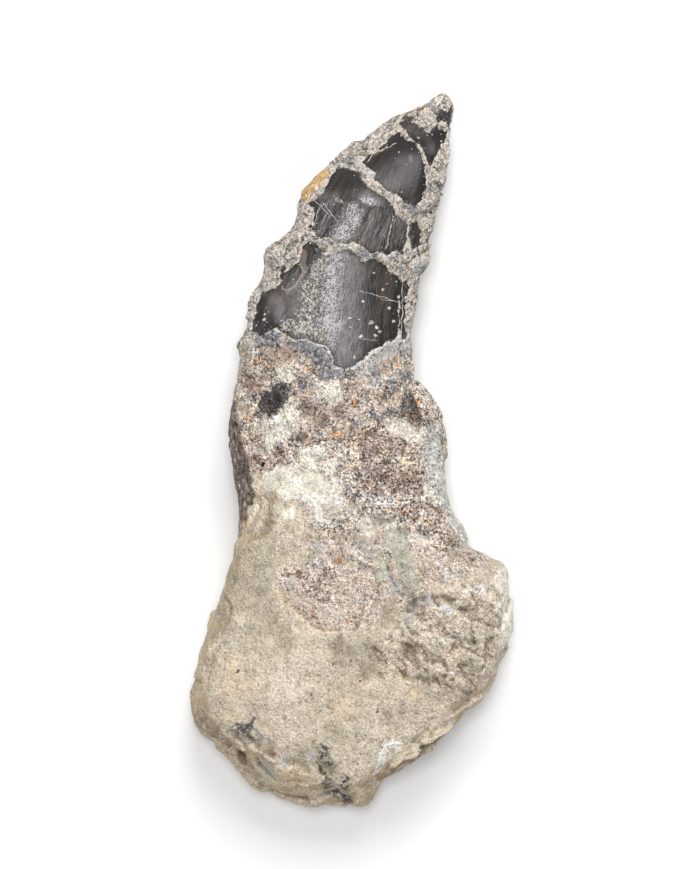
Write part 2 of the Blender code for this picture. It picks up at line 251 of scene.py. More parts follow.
class Graph:
    """A material's nodes, written as nested calls. Places are in millimetres."""

    def __init__(self, name):
        self.material = bpy.data.materials.new(name)
        self.material.use_nodes = True
        self.tree = self.material.node_tree
        self.shader = self.tree.nodes["Principled BSDF"]
        place = self.tree.nodes.new("ShaderNodeTexCoord").outputs["Object"]
        self.place = self.vector("MULTIPLY", place, (1 / MM, 1 / MM, 1 / MM))

    def add(self, kind, sockets, **settings):
        """A new node with these inputs, by name or number, linked or set."""
        node = self.tree.nodes.new("ShaderNode" + kind)
        for key, value in settings.items():
            setattr(node, key, value)
        for key, value in sockets.items():
            if isinstance(value, bpy.types.NodeSocket):
                self.tree.links.new(value, node.inputs[key])
            else:
                node.inputs[key].default_value = value
        return node

    def math(self, operation, *values, clamp=False):
        return self.add("Math", dict(enumerate(values)), operation=operation, use_clamp=clamp).outputs[0]

    def times(self, first, *others):
        for other in others:
            first = self.math("MULTIPLY", first, other)
        return first

    def most(self, first, *others):
        for other in others:
            first = self.math("MAXIMUM", first, other)
        return first

    def vector(self, operation, *values):
        return self.add("VectorMath", dict(enumerate(values)), operation=operation).outputs[0]

    def read(self, name):
        """A number written on the corners by mark()."""
        return self.add("Attribute", {}, attribute_name=name).outputs["Fac"]

    def noise(self, size, detail=3.0, place=None, shift=0.0, rough=0.55):
        """Cloudy noise from 0 to 1 with bumps of this size in millimetres."""
        place = self.vector("ADD", self.vector("SCALE", place or self.place), (shift, shift, shift))
        place.node.inputs[0].links[0].from_node.inputs["Scale"].default_value = 1 / size
        sockets = {"Vector": place, "Scale": 1.0, "Detail": detail, "Roughness": rough}
        return self.add("TexNoise", sockets).outputs["Fac"]

    def cells(self, size, place):
        """Grains of this size: the node gives their distance and colour."""
        return self.add("TexVoronoi", {"Vector": place, "Scale": 1 / size})

    def cell_edges(self, size, place):
        """Distance to the nearest edge between such grains, in grain sizes."""
        return self.add("TexVoronoi", {"Vector": place, "Scale": 1 / size},
                        feature="DISTANCE_TO_EDGE").outputs["Distance"]

    def line(self, size, shift, width):
        """1 along winding lines about this size apart, 0 away from them."""
        away = self.math("ABSOLUTE", self.math("SUBTRACT", self.noise(size, 2.0, shift=shift), 0.5))
        return self.rise(away, width, 0.0)

    def sum(self, *terms):
        """Sum of values, or of terms (value, factor) or (value, factor, shift): (value + shift) * factor."""
        total = None
        for term in terms:
            term = term if isinstance(term, tuple) else (term,)
            value, factor, shift = (*term, *(1.0, 0.0)[len(term) - 1:])
            if shift:
                value = self.math("ADD", value, shift)
            total = self.math("MULTIPLY_ADD", value, factor, 0.0 if total is None else total)
        return total

    def clouded(self, colour, clouds, shift):
        """A colour with tinted clouds: (size, noise level they start at, tint, strength) each."""
        for number, (size, level, tint, strength) in enumerate(clouds):
            share = self.rise(self.noise(size, 4.0, shift=shift + 13.0 * number, rough=0.62), level,
                              level + 0.10)
            colour = self.mix(self.math("MULTIPLY", share, strength), colour, tint)
        return colour

    def mix_value(self, share, a, b):
        return self.add("MapRange", {0: share, 1: 0.0, 2: 1.0, 3: a, 4: b}).outputs[0]

    def rise(self, value, low, high):
        """0 below low to 1 above high."""
        node = self.add("MapRange", {0: value, 1: low, 2: high, 3: 0.0, 4: 1.0},
                        interpolation_type="SMOOTHSTEP")
        return node.outputs[0]

    def mix(self, share, a, b, blend="MIX"):
        node = self.tree.nodes.new("ShaderNodeMix")
        node.data_type, node.blend_type = "RGBA", blend
        for socket, value in zip((node.inputs["Factor"], node.inputs[6], node.inputs[7]), (share, a, b)):
            if isinstance(value, bpy.types.NodeSocket):
                self.tree.links.new(value, socket)
            else:
                socket.default_value = value if isinstance(value, float) else (*value, 1)
        return node.outputs[2]

    def ramp(self, value, stops):
        """Colour through these (place, colour) stops."""
        node = self.add("ValToRGB", {0: value})
        elements = node.color_ramp.elements
        while len(elements) < len(stops):
            elements.new(0.5)
        for element, (place, colour) in zip(elements, stops):
            element.position = place
            element.color = (*colour, 1)
        return node.outputs[0]

    def bump(self, height, depth):
        """Surface normal of a relief of this depth in millimetres."""
        return self.add("Bump", {"Height": height, "Distance": depth * MM, "Strength": 1.0}).outputs[0]

    def finish(self, colour, roughness, normal):
        for name, socket in (("Base Color", colour), ("Roughness", roughness), ("Normal", normal)):
            self.tree.links.new(socket, self.shader.inputs[name])
        return self.material


# Tint of each patch colour, how fully it covers, and how ragged its edge is.
PATCH_COLOURS = {
    "olive": ((0.43, 0.38, 0.29), 0.82, 0.9),
    "pink": ((0.70, 0.59, 0.505), 0.62, 1.1),
    "ochre": ((0.67, 0.52, 0.345), 0.44, 1.1),
    # Painted shade: a darker brown tint laid in hollows, along creases and below ledges.
    "shade": ((0.42, 0.36, 0.28), 0.55, 0.8),
    "brown": ((0.275, 0.195, 0.155), 0.65, 1.0),
    "blue": ((0.20, 0.21, 0.235), 0.80, 1.0),
    "grey": ((0.45, 0.435, 0.42), 0.75, 0.6),
    "green": ((0.60, 0.60, 0.56), 0.80, 0.7),
    "sage": ((0.44, 0.43, 0.355), 0.86, 0.35),
    "cream": ((0.79, 0.745, 0.65), 0.80, 0.9),
    "rust": ((0.56, 0.25, 0.10), 0.85, 0.6),
    "tan": ((0.60, 0.39, 0.18), 0.90, 0.4),
    "white": ((0.88, 0.87, 0.87), 0.60, 0.9),
    "dark": ((0.045, 0.043, 0.048), 0.90, 0.5),
    "soot": ((0.040, 0.041, 0.050), 0.92, 1.1),
}
SILT = (0.61, 0.53, 0.42)
SAND = (0.595, 0.51, 0.435)
CROWN_CRUST = (0.555, 0.49, 0.43)
# Tints that come and go by themselves: size of the clouds, noise level they start at, colour, strength.
SILT_CLOUDS = [
    (9.0, 0.50, (0.515, 0.452, 0.352), 0.55),
    (6.5, 0.53, (0.67, 0.55, 0.40), 0.32),
    (7.5, 0.54, (0.665, 0.57, 0.485), 0.5),
    (2.2, 0.56, (0.49, 0.435, 0.35), 0.40),
]
SAND_CLOUDS = [
    (4.6, 0.51, (0.37, 0.275, 0.21), 0.7),
    (3.6, 0.56, (0.80, 0.74, 0.61), 0.6),
    (2.6, 0.56, (0.36, 0.36, 0.38), 0.6),
    (1.4, 0.58, (0.66, 0.44, 0.26), 0.5),
]
CRUST_CLOUDS = [
    (2.8, 0.54, (0.27, 0.275, 0.29), 0.6),
    (3.4, 0.56, (0.60, 0.52, 0.41), 0.5),
    (2.2, 0.57, (0.66, 0.64, 0.61), 0.6),
]


# Numbers that the rock reads besides those of its patches.
ROCK_NUMBERS = ("sand", "coarse", "crown", "flank", "scar", "window", "hollow", "edge")


class Rock(Graph):
    """Nodes of the siltstone, packed sand and crust, with the numbers and textures that they share."""

    def __init__(self, name):
        super().__init__(name)
        self.near = {patch: self.read(patch) for patch in (*PATCH_COLOURS, *ROCK_NUMBERS)}
        self.middle = self.noise(2.4, 4.0, shift=7.0)
        self.fine = self.noise(0.75, 3.0, shift=19.0, rough=0.6)
        self.tiny = self.noise(0.26, 1.0, shift=31.0)
        waves = self.add("TexNoise", {"Vector": self.place, "Scale": 1.2, "Detail": 2.0}).outputs["Color"]
        self.shaken = self.vector("ADD", self.place, waves)
        pebble, chip = self.cells(0.95, self.shaken), self.cells(2.3, self.shaken)
        self.pebble_edge, self.chip_edge = (self.cell_edges(size, self.shaken) for size in (0.95, 2.3))
        self.kind = self.add("SeparateColor", {0: pebble.outputs["Color"]}).outputs
        self.chip_kind = self.add("SeparateColor", {0: chip.outputs["Color"]}).outputs
        self.ragged = self.sum((self.middle, 1.6, -0.5), (self.fine, 1.2, -0.5))
        self.crown = self.rise(self.sum(self.near["crown"], (self.ragged, 0.45)), 0.3, 0.7)
        self.worm = self.math("SUBTRACT", self.line(0.9, 57.0, 0.035), self.line(1.1, 83.0, 0.035))
        plain = self.most(self.near["cream"], self.near["green"],
                          self.most(self.near["grey"], self.near["tan"]), self.near["sage"])
        self.smooth = self.rise(plain, -0.3, 0.4)
        self.coarse = self.math("MULTIPLY", self.near["coarse"],
                                self.sum((self.middle, 1.8, 0.1), (self.smooth, -0.62)), clamp=True)

    def patched(self):
        """Colour of silt, sand and crust with the painted patches on them."""
        sandy = self.rise(self.sum(self.near["sand"], (self.ragged, 0.45)), 0.25, 0.75)
        beds = [(SILT, SILT_CLOUDS), (SAND, SAND_CLOUDS), (CROWN_CRUST, CRUST_CLOUDS)]
        silt, sand, crust = (self.clouded(base, clouds, 40.0 * k) for k, (base, clouds) in enumerate(beds))
        colour = self.mix(self.crown, self.mix(sandy, silt, sand), crust)
        for patch, (tint, strength, soft) in PATCH_COLOURS.items():
            inside = self.sum(self.near[patch], (self.ragged, 0.55 * soft))
            cover = self.times(self.rise(inside, 0.0, 0.3 + 0.3 * soft), strength)
            if patch == "soot":
                cover = self.times(cover, self.rise(self.noise(0.85, 4.0, shift=139.0, rough=0.7), 0.38,
                                                    0.56))
            colour = self.mix(cover, colour, tint)
        return colour

    def light(self):
        """Light and dark grains, painted light and shade from embossed noise, pale and dark worm-like lines,
        and gaps between grains.
        """
        mottle = self.rise(self.noise(0.60, 2.0, shift=101.0), 0.38, 0.62)
        gap = self.times(self.rise(self.pebble_edge, 0.13, 0.0), self.rise(self.middle, 0.40, 0.60))
        # Painted light and shade: a noise less a shifted copy of it, lighter on one side of each bump and
        # darker on the other.
        beside = self.vector("ADD", self.place, (0.18, 0.09, 0.0))
        embossed_shading = self.math("SUBTRACT", self.noise(0.8, 3.0, shift=127.0, rough=0.6),
                            self.noise(0.8, 3.0, place=beside, shift=127.0, rough=0.6))
        crease = self.times(self.rise(self.chip_edge, 0.07, 0.0), self.rise(self.fine, 0.42, 0.55))
        grain = self.sum((embossed_shading, 1.5), (self.kind[0], 0.34, -0.5), (mottle, 0.38, -0.5),
                         (self.fine, 1.1, -0.5), (self.tiny, 1.9, -0.5), (self.worm, 0.45),
                         (gap, -0.50, -0.25), (crease, -0.55, -0.10))
        plates = self.sum((embossed_shading, 1.3), (self.chip_kind[0], 0.42, -0.5), (mottle, 0.30, -0.5),
                          (self.fine, 1.25, -0.5), (self.tiny, 0.6, -0.5), (self.worm, 0.28),
                          (self.rise(self.chip_edge, 0.10, 0.02), -0.75, -0.15),
                          (self.rise(self.chip_edge, 0.20, 0.10), 0.25, -0.2))
        grain = self.mix_value(self.times(self.crown, 0.8), grain, self.times(plates, 0.76))
        pits = self.rise(self.sum(self.noise(0.5, 2.0, shift=113.0), (self.middle, 0.3, -0.5)), 0.40, 0.33)
        stipple = self.sum((embossed_shading, 0.85), (mottle, 0.08, -0.5), (self.tiny, 0.42, -0.5),
                           (self.fine, 0.45, -0.5), (self.middle, 0.6, -0.5), (self.worm, 0.26),
                           (pits, -0.34, -0.08))
        light = self.mix_value(self.coarse, stipple, grain)
        light = self.math("MULTIPLY_ADD", light, self.sum((self.coarse, 0.62), 1.16), 1.02)
        return self.most(light, 0.12)

    def grained(self, colour):
        """The colour with each grain lighter or darker, redder or yellower."""
        light = self.light()
        hue = self.sum((self.noise(1.1, 2.0, shift=97.0), 1.0, -0.5), (self.kind[1], 0.12, -0.5))
        hue = self.times(hue, self.sum((self.coarse, 0.9), 0.15))
        tinted = self.add("CombineXYZ", {0: self.math("MULTIPLY_ADD", hue, 0.35, 1.0), 1: 1.0,
                                         2: self.math("MULTIPLY_ADD", hue, -0.5, 1.0)}).outputs[0]
        grey = self.add("CombineXYZ", {0: light, 1: light, 2: light}).outputs[0]
        return self.vector("MULTIPLY", colour, self.vector("MULTIPLY", grey, tinted))

    def dotted(self, colour):
        """The colour with odd grains, dark brown, white and rusty, and the scar's red-brown specks."""
        odd = self.times(self.rise(self.coarse, 0.35, 0.8), self.rise(self.smooth, 0.6, 0.1))
        dots = self.cells(0.55, self.shaken)
        dot_kind = self.add("SeparateColor", {0: dots.outputs["Color"]}).outputs
        chance = self.sum(dot_kind[2], (self.middle, 0.5, -0.5))
        round_dot = self.rise(dots.outputs["Distance"], 0.55, 0.30)
        dark_dot = self.times(self.math("LESS_THAN", chance, 0.16), round_dot, self.times(odd, 0.85))
        colour = self.mix(dark_dot, colour, (0.05, 0.035, 0.03))
        pale_dot = self.times(self.math("GREATER_THAN", chance, 0.90), round_dot, self.times(odd, 0.7))
        colour = self.mix(pale_dot, colour, (0.92, 0.90, 0.87))
        rusty = self.math("GREATER_THAN", self.sum(self.kind[1], (self.middle, 1.2, -0.5)), 1.10)
        rusty = self.times(rusty, odd, self.mix_value(self.crown, 0.5, 0.0))
        colour = self.mix(rusty, colour, (0.52, 0.27, 0.13))
        speck = self.rise(self.sum(self.noise(0.6, 2.0, shift=71.0), (self.middle, 0.5, -0.5),
                                   (self.near["scar"], 0.18, -1.0)), 0.555, 0.595)
        colour = self.mix(self.times(speck, self.rise(self.near["scar"], 0.0, 0.2), 0.8), colour,
                          (0.17, 0.085, 0.06))
        return colour

    def edged(self, colour):
        """The colour with painted shade where the front slopes away, the bark-like flank, pale broken edges
        and painted shade in hollows.
        """
        # Painted shade: darker and browner where the front slopes away.
        painted_slope_shade = self.rise(self.near["edge"], 0.0, 0.8)
        colour = self.mix(self.times(painted_slope_shade, self.rise(self.middle, 0.35, 0.6)), colour,
                          self.mix(1.0, colour, (0.84, 0.77, 0.66), "MULTIPLY"))
        flank = self.rise(self.sum(self.near["flank"], (self.ragged, 0.9)), 0.2, 0.8)
        streak = self.noise(0.8, 3.0, place=self.vector("MULTIPLY", self.place, (1.0, 0.42, 1.0)), shift=3.0)
        bark = self.ramp(self.sum(streak, (self.tiny, 0.5, -0.5)),
                         [(0.36, (0.026, 0.020, 0.018)), (0.50, (0.16, 0.118, 0.098)),
                          (0.60, (0.34, 0.27, 0.225)), (0.74, (0.74, 0.68, 0.62))])
        colour = self.mix(self.times(flank, 0.9), colour, bark)
        pale_edge = self.times(self.rise(self.near["window"], -0.55, -0.2),
                               self.rise(self.near["crown"], 0.02, 0.2))
        colour = self.mix(self.times(pale_edge, self.rise(self.fine, 0.44, 0.58)), colour, (0.78, 0.73, 0.65))
        # Painted shade: darker where the surface lies lower than around it.
        hollow = self.times(self.rise(self.near["hollow"], -0.10, 0.34), 0.75)
        colour = self.mix(hollow, colour, self.mix(1.0, colour, (0.25, 0.20, 0.17), "MULTIPLY"))
        return colour

    def height(self):
        """Relief too fine for the mesh."""
        height = self.sum((self.rise(self.pebble_edge, 0.0, 0.3), 0.5), (self.fine, 1.2), (self.tiny, 0.35),
                          (self.worm, 0.15))
        height = self.times(height, self.sum((self.coarse, 0.9), 0.35))
        return self.sum(height, self.middle)


def rock_material(name):
    """Siltstone, packed sand and crust, coloured by the numbers that mark() wrote."""
    g = Rock(name)
    colour = g.edged(g.dotted(g.grained(g.patched())))
    g.shader.inputs["Specular IOR Level"].default_value = 0.3
    return g.finish(colour, g.sum((g.fine, 0.18), 0.80), g.bump(g.height(), 0.35))


# Bands of the enamel on the front: half width and the points they run through.
AREAS = {
    # Wear with a painted highlight: a grey crest with bright painted glints.
    "wear_and_highlight": [
        (3.1, [(-3.4, 38.6), (-3.8, 33.0), (-4.4, 28.0), (-4.0, 22.4)]),
        (2.7, [(-2.2, 42.0), (-0.4, 44.4), (0.6, 46.8)]), (1.0, [(2.4, 50.0), (4.4, 49.2)]),
        (1.2, [(-6.6, 37.0), (-7.2, 34.0)]),
    ],
    # Painted highlight: bands where a lighter, streaky grey is laid on the enamel's colour.
    "painted_highlight": [
        (5.0, [(-1.2, 38.2), (-1.0, 30.0), (-1.2, 19.0)]), (2.2, [(-14.2, 29.4), (-13.4, 26.4)]),
        (1.6, [(9.8, 45.4), (10.0, 42.0)]), (3.0, [(12.8, 57.6), (12.0, 55.4), (10.4, 53.4), (8.4, 52.8)]),
        (1.3, [(15.6, 62.2), (16.3, 59.8)]), (2.0, [(-6.6, 51.4), (-3.6, 50.0)]),
        (2.2, [(2.0, 51.4), (5.0, 49.4)]), (5.0, [(-10.0, 31.6), (-9.0, 24.6)]),
        (0.5, [(-11.4, 34.4), (-10.4, 35.6)]),
    ],
    "tan": [
        (0.9, [(-9.2, 39.2), (-9.4, 36.4)]), (0.7, [(-8.8, 36.0), (-10.2, 33.2), (-12.4, 31.4)]),
        (0.5, [(4.8, 58.8), (7.4, 60.2)]), (0.5, [(12.0, 58.6), (12.2, 57.6)]),
    ],
    "grit": [
        (3.0, [(-8.0, 32.4), (-8.2, 28.6), (-9.0, 24.6)]),
        (2.2, [(-12.6, 24.6), (-9.4, 23.6), (-6.2, 22.6)]), (1.9, [(-5.4, 37.8), (-6.6, 34.0)]),
        (0.7, [(-2.8, 50.2), (-1.6, 49.2)]),
    ],
    # Painted shade: bands where the enamel's colour is darkened and made rougher.
    "painted_enamel_shade": [
        (3.0, [(4.0, 57.6), (9.2, 61.0), (12.4, 60.6)]), (1.5, [(15.2, 57.0), (14.6, 51.0)]),
        (2.4, [(-5.0, 53.6), (-1.6, 53.6), (1.4, 52.6)]), (2.2, [(9.8, 33.0), (9.4, 24.0)]),
        (1.2, [(-17.6, 30.0), (-18.2, 26.0)]), (1.6, [(17.6, 62.8), (15.0, 61.6)]),
    ],
    "brown": [
        (4.2, [(-16.0, 29.0), (-11.6, 28.4)]), (2.4, [(-4.0, 55.0), (-1.6, 52.0)]),
        (3.4, [(6.8, 34.0), (7.4, 27.0)]), (2.4, [(4.2, 46.0), (4.0, 42.0)]),
        (2.8, [(3.6, 57.4), (7.4, 61.0)]), (2.6, [(9.8, 44.0), (9.4, 41.0)]),
        (1.4, [(-9.0, 40.4), (-8.8, 39.8)]), (3.0, [(3.0, 36.4), (5.0, 33.6)]),
        (1.6, [(11.4, 64.6), (13.4, 63.4)]),
    ],
}


def enamel_material():
    """Near-black enamel with fine lengthwise threads, a rubbed crest with a painted silvery highlight and
    painted glints, painted highlights and painted shade in bands, and grit stuck to it.
    """
    g = Graph("enamel")
    near = {name: g.read(name) for name in ("across", "along", "window", "panel", *AREAS)}
    wave = g.noise(1.5, 2.0, shift=5.0)
    across = g.sum(near["across"], (wave, 1.1))
    place = g.add("CombineXYZ", {0: across, 1: g.times(near["along"], 0.16), 2: 0.0}).outputs[0]
    thread, broad = g.noise(0.42, 1.0, place=place), g.noise(2.0, 3.0, place=place, shift=11.0)
    tiny, fine = g.noise(0.22, 1.0, shift=3.0), g.noise(0.5, 2.0, shift=13.0)
    middle = g.noise(1.5, 4.0, shift=23.0)
    grains = g.add("SeparateColor", {0: g.cells(0.36, g.place).outputs["Color"]}).outputs
    colour = g.ramp(broad, [(0.3, (0.010, 0.0085, 0.008)), (0.5, (0.021, 0.0175, 0.016)),
                            (0.7, (0.050, 0.041, 0.037))])
    plain = g.rise(near["along"], 48.0, 53.0)
    threads = g.mix_value(plain, 1.0, 0.35)
    colour = g.mix(g.times(g.rise(thread, 0.50, 0.66), g.times(threads, 0.36)), colour, (0.105, 0.092, 0.084))
    colour = g.mix(g.times(g.rise(thread, 0.46, 0.30), g.times(threads, 0.5)), colour, (0.006, 0.0055, 0.005))
    brown = g.times(g.rise(g.sum(near["brown"], (middle, 1.2, -0.5)), 0.0, 0.7), g.rise(broad, 0.38, 0.6))
    colour = g.mix(g.times(brown, 0.6), colour, (0.085, 0.060, 0.047))
    tan = g.rise(g.sum(near["tan"], (middle, 1.0, -0.5)), 0.1, 0.6)
    colour = g.mix(g.times(tan, 0.6), colour, (0.24, 0.18, 0.14))
    # Painted highlight: a light streaky grey in the painted_highlight bands.
    painted_highlight = g.rise(g.sum(near["painted_highlight"], (broad, 0.7, -0.5)), -0.15, 0.95)
    streaky = g.rise(g.sum((thread, g.mix_value(plain, 0.7, 0.25)), (tiny, 0.9, -0.5), (fine, 0.5, -0.5)),
                     0.15, 0.60)
    colour = g.mix(g.times(painted_highlight, g.sum((streaky, 0.65), 0.28)), colour, (0.23, 0.21, 0.21))
    # Wear with a painted highlight and painted glints: a grey tint and bright silvery flecks on the crest.
    wear_and_highlight = g.rise(g.sum(near["wear_and_highlight"], (middle, 0.9, -0.5), (thread, 0.6, -0.5)), -0.30, 0.85)
    glint_flecks = g.rise(g.sum((thread, 0.45), (tiny, 1.3, -0.5), (fine, 0.5, -0.5), (grains[0], 0.30, -0.5),
                          (wear_and_highlight, 0.22)), 0.28, 0.56)
    colour = g.mix(g.times(wear_and_highlight, 0.4), colour, (0.20, 0.18, 0.185))
    colour = g.mix(g.times(wear_and_highlight, glint_flecks, 0.85), colour, (0.58, 0.54, 0.555))
    panel = g.rise(g.sum(near["panel"], (fine, 0.8, -0.5)), -0.05, 0.15)
    streaks = g.ramp(g.sum(thread, (tiny, 0.3, -0.5), (broad, 0.6, -0.5)), [
        (0.36, (0.014, 0.012, 0.012)), (0.50, (0.072, 0.063, 0.061)), (0.64, (0.150, 0.133, 0.128)),
        (0.82, (0.31, 0.28, 0.27))])
    colour = g.mix(g.times(panel, 0.75), colour, streaks)
    gritty = g.rise(g.sum(near["grit"], (middle, 0.9, -0.5)), -0.35, 0.75)
    dusty = g.rise(g.sum(near["window"], (middle, 1.8, -0.5)), 0.5, 0.0)
    stuck = g.most(gritty, g.times(dusty, 0.7))
    stuck = g.times(stuck, g.rise(g.sum((grains[1], 0.40), (fine, 1.7, -0.5), (stuck, 0.65)), 0.55, 0.82))
    tone = g.ramp(g.sum((grains[2], 0.6), (tiny, 1.2, -0.3)), [
        (0.15, (0.07, 0.058, 0.05)), (0.45, (0.26, 0.235, 0.205)), (0.8, (0.60, 0.57, 0.52))])
    colour = g.mix(g.times(stuck, 0.85), colour, tone)
    # Painted shadow: the enamel darker close to the crust's edge.
    crust_edge_shadow = g.times(g.rise(near["window"], 1.0, 0.1), 0.6)
    colour = g.mix(crust_edge_shadow, colour, g.mix(1.0, colour, (0.25, 0.23, 0.22), "MULTIPLY"))
    # Painted shade: the enamel's colour darkened in these bands.
    painted_enamel_shade = g.rise(g.sum(near["painted_enamel_shade"], (broad, 0.8, -0.5)), -0.2, 0.8)
    colour = g.mix(g.times(painted_enamel_shade, 0.7), colour, g.mix(1.0, colour, (0.30, 0.28, 0.27), "MULTIPLY"))
    roughness = g.sum(0.30, (wear_and_highlight, 0.10), (fine, 0.15), (stuck, 0.4), (panel, 0.2), (painted_enamel_shade, 0.35))
    height = g.sum(thread, (tiny, 0.5), (g.times(wear_and_highlight, tiny), 1.2), (broad, 0.8),
                   (panel, -1.2), (stuck, 1.6))
    g.shader.inputs["Specular IOR Level"].default_value = 0.42
    return g.finish(colour, roughness, g.bump(height, 0.10))


# Dark, middle and pale colour.
GRIT_COLOURS = [(0.30, 0.26, 0.22), (0.50, 0.46, 0.41), (0.68, 0.65, 0.60)]
CHALK_COLOURS = [(0.62, 0.59, 0.54), (0.86, 0.85, 0.82), (0.93, 0.92, 0.90)]


def grit_material(name, dark, middle, pale):
    """Specks and thin veins of rock, or chalky marks, in these three colours."""
    g = Graph(name)
    fine, tiny = g.noise(0.8, 2.0), g.noise(0.2, 2.0, shift=9.0)
    colour = g.ramp(g.sum(fine, (tiny, 0.5, -0.5)), [
        (0.35, dark), (0.5, middle), (0.65, pale)])
    return g.finish(colour, g.sum((tiny, 0.2), 0.7), g.bump(tiny, 0.06))


# ---------------------------------------------------------------- places on the front, in millimetres

# Outlines of the openings in the crust where enamel shows.
ENAMEL_WINDOWS = {
    "lower": [(-19.7, 23.9), (-20.1, 25.6), (-19.3, 27.1), (-18.9, 29.6), (-18.1, 31.3), (-15.5, 31.9),
        (-13.6, 33.4), (-14.0, 34.6), (-12.2, 35.7), (-10.6, 37.2), (-10.1, 40.4), (-9.0, 41.2),
        (-7.6, 40.9), (-6.9, 39.4), (-5.3, 38.0), (-3.1, 39.1), (-0.6, 39.6), (1.2, 38.4), (2.6, 36.9),
        (4.4, 37.6), (6.1, 37.1), (7.6, 35.6), (9.3, 34.6), (10.7, 32.9), (9.9, 29.6), (10.2, 26.2),
        (9.8, 22.9), (8.8, 21.9), (7.4, 22.2), (6.4, 20.9), (4.3, 19.9), (2.9, 18.2), (1.0, 16.7),
        (-1.2, 16.3), (-2.6, 16.7), (-3.2, 18.8), (-4.6, 20.8), (-6.6, 21.4), (-8.9, 22.4), (-11.2, 22.1),
        (-13.3, 23.2), (-15.4, 24.6), (-17.3, 23.7)],
    "middle": [(-9.0, 49.2), (-7.2, 50.4), (-5.6, 52.3), (-4.2, 54.8), (-3.1, 56.5), (-1.3, 55.9),
        (0.9, 55.2), (1.9, 53.6), (3.3, 52.0), (5.3, 50.8), (7.3, 49.6), (8.4, 48.2), (9.6, 46.6),
        (12.0, 44.6), (11.4, 41.6), (10.9, 39.3), (9.2, 39.9), (7.7, 39.0), (6.1, 39.7), (4.2, 39.3),
        (2.3, 41.0), (0.6, 41.6), (-1.2, 41.2), (-2.9, 41.5), (-4.6, 42.6), (-6.3, 42.5), (-7.0, 44.6),
        (-7.3, 46.8), (-7.8, 48.3)],
    "upper": [(2.0, 57.2), (3.4, 58.6), (5.1, 59.3), (6.4, 60.4), (7.6, 62.1), (9.4, 63.1), (11.2, 61.6),
        (13.3, 60.6), (14.6, 58.4), (15.4, 55.6), (15.5, 52.4), (14.4, 50.1), (13.2, 48.8), (11.6, 49.3),
        (10.2, 50.7), (8.1, 51.6), (6.2, 52.9), (4.8, 53.9), (5.4, 55.4), (3.8, 56.2)],
    "top": [(9.8, 65.2), (11.4, 65.5), (12.6, 64.9), (14.4, 63.1), (16.1, 62.9), (17.4, 64.4), (18.3, 63.3),
        (19.7, 63.6), (19.3, 61.9), (18.5, 60.3), (17.4, 58.2), (16.8, 56.9), (15.8, 58.3), (14.8, 60.6),
        (13.0, 61.9), (11.0, 63.6)],
    "near tip": [(17.8, 66.4), (18.6, 67.4), (20.0, 66.8), (20.7, 68.6), (21.2, 67.4), (20.8, 65.6),
        (20.3, 64.5), (19.6, 65.6)],
    "beside lower": [(11.2, 33.2), (12.3, 32.4), (11.8, 30.4), (11.6, 26.2), (11.5, 22.6), (10.9, 21.8),
        (10.9, 27.0), (10.8, 31.0)],
    "beside middle": [(12.7, 44.6), (13.9, 45.2), (14.6, 43.4), (14.4, 41.0), (13.1, 40.0), (12.8, 42.2)],
    "leaf": [(-13.2, 33.0), (-12.1, 34.9), (-9.8, 36.5), (-9.3, 36.0), (-10.0, 33.9), (-12.1, 31.9)],
}
# The openings on the back are those of the front, moved by this much and drifting in waves of this size.
BACK_SHIFT = (1.6, -2.2)
BACK_WANDER = 9.0
# Full thickness of the crust.
CRUST = 0.8
# Points round each ring of the crust and of the enamel.
CRUST_AROUND = 320
ENAMEL_AROUND = 280


# ---------------------------------------------------------------- the tooth's form, read from the model

FINE = 0.25
profile_y = np.arange(-23.4, 71.1, FINE)
profile_raw = np.array([slice_range(tooth_shape, y + 1e-4) for y in profile_y])
to_tip = step(profile_y, 58, 68)[:, None]
profile_sides = smoothed(profile_raw[:, :2], FINE, 0.6)
plain_sides = smoothed(profile_raw[:, :2], FINE, 3.0) * (1 - to_tip) + profile_sides * to_tip
plain_heights, tip_heights = (smoothed(profile_raw[:, 2:], FINE, width) for width in (4.0, 0.8))
profile_heights = plain_heights * (1 - to_tip) + tip_heights * to_tip
profile_middle = profile_heights.mean(axis=1)
profile_half = (profile_heights[:, 1] - profile_heights[:, 0]) / 2 + 0.4 * step(profile_y, 16, 24)
TIP_ROUND = 0.9


def section_at(y, sides):
    """Left and right edge, middle height and half thickness of the tooth at this Y."""
    return [np.interp(y, profile_y, values) for values in (*sides.T, profile_middle, profile_half)]


def tooth_top(x, y):
    """Height of the crust's front over these places, falling away steeply beyond its left side."""
    left, right, middle, half = section_at(y, profile_sides)
    out = np.abs(x - (left + right) / 2) / ((right - left) / 2)
    return middle + half * np.sqrt(np.clip(1 - out**2.2, 0, 1)) - 3.0 * np.maximum(left - x, 0)


def ring(left, right, middle, half, power, count):
    """Evenly spaced points of a rounded cross-section, X and Z, from its right edge over the front."""
    angle = np.linspace(0, 2 * np.pi, 721)
    across, high = np.cos(angle), np.sin(angle)
    x = (left + right) / 2 + (right - left) / 2 * np.sign(across) * np.abs(across) ** (2 / power)
    z = middle + half * np.sign(high) * np.abs(high) ** (2 / power)
    walked = np.concatenate([[0], np.cumsum(np.hypot(np.diff(x), np.diff(z)))])
    steps = np.linspace(0, walked[-1], count, endpoint=False)
    return np.column_stack([np.interp(steps, walked, x), np.interp(steps, walked, z)])


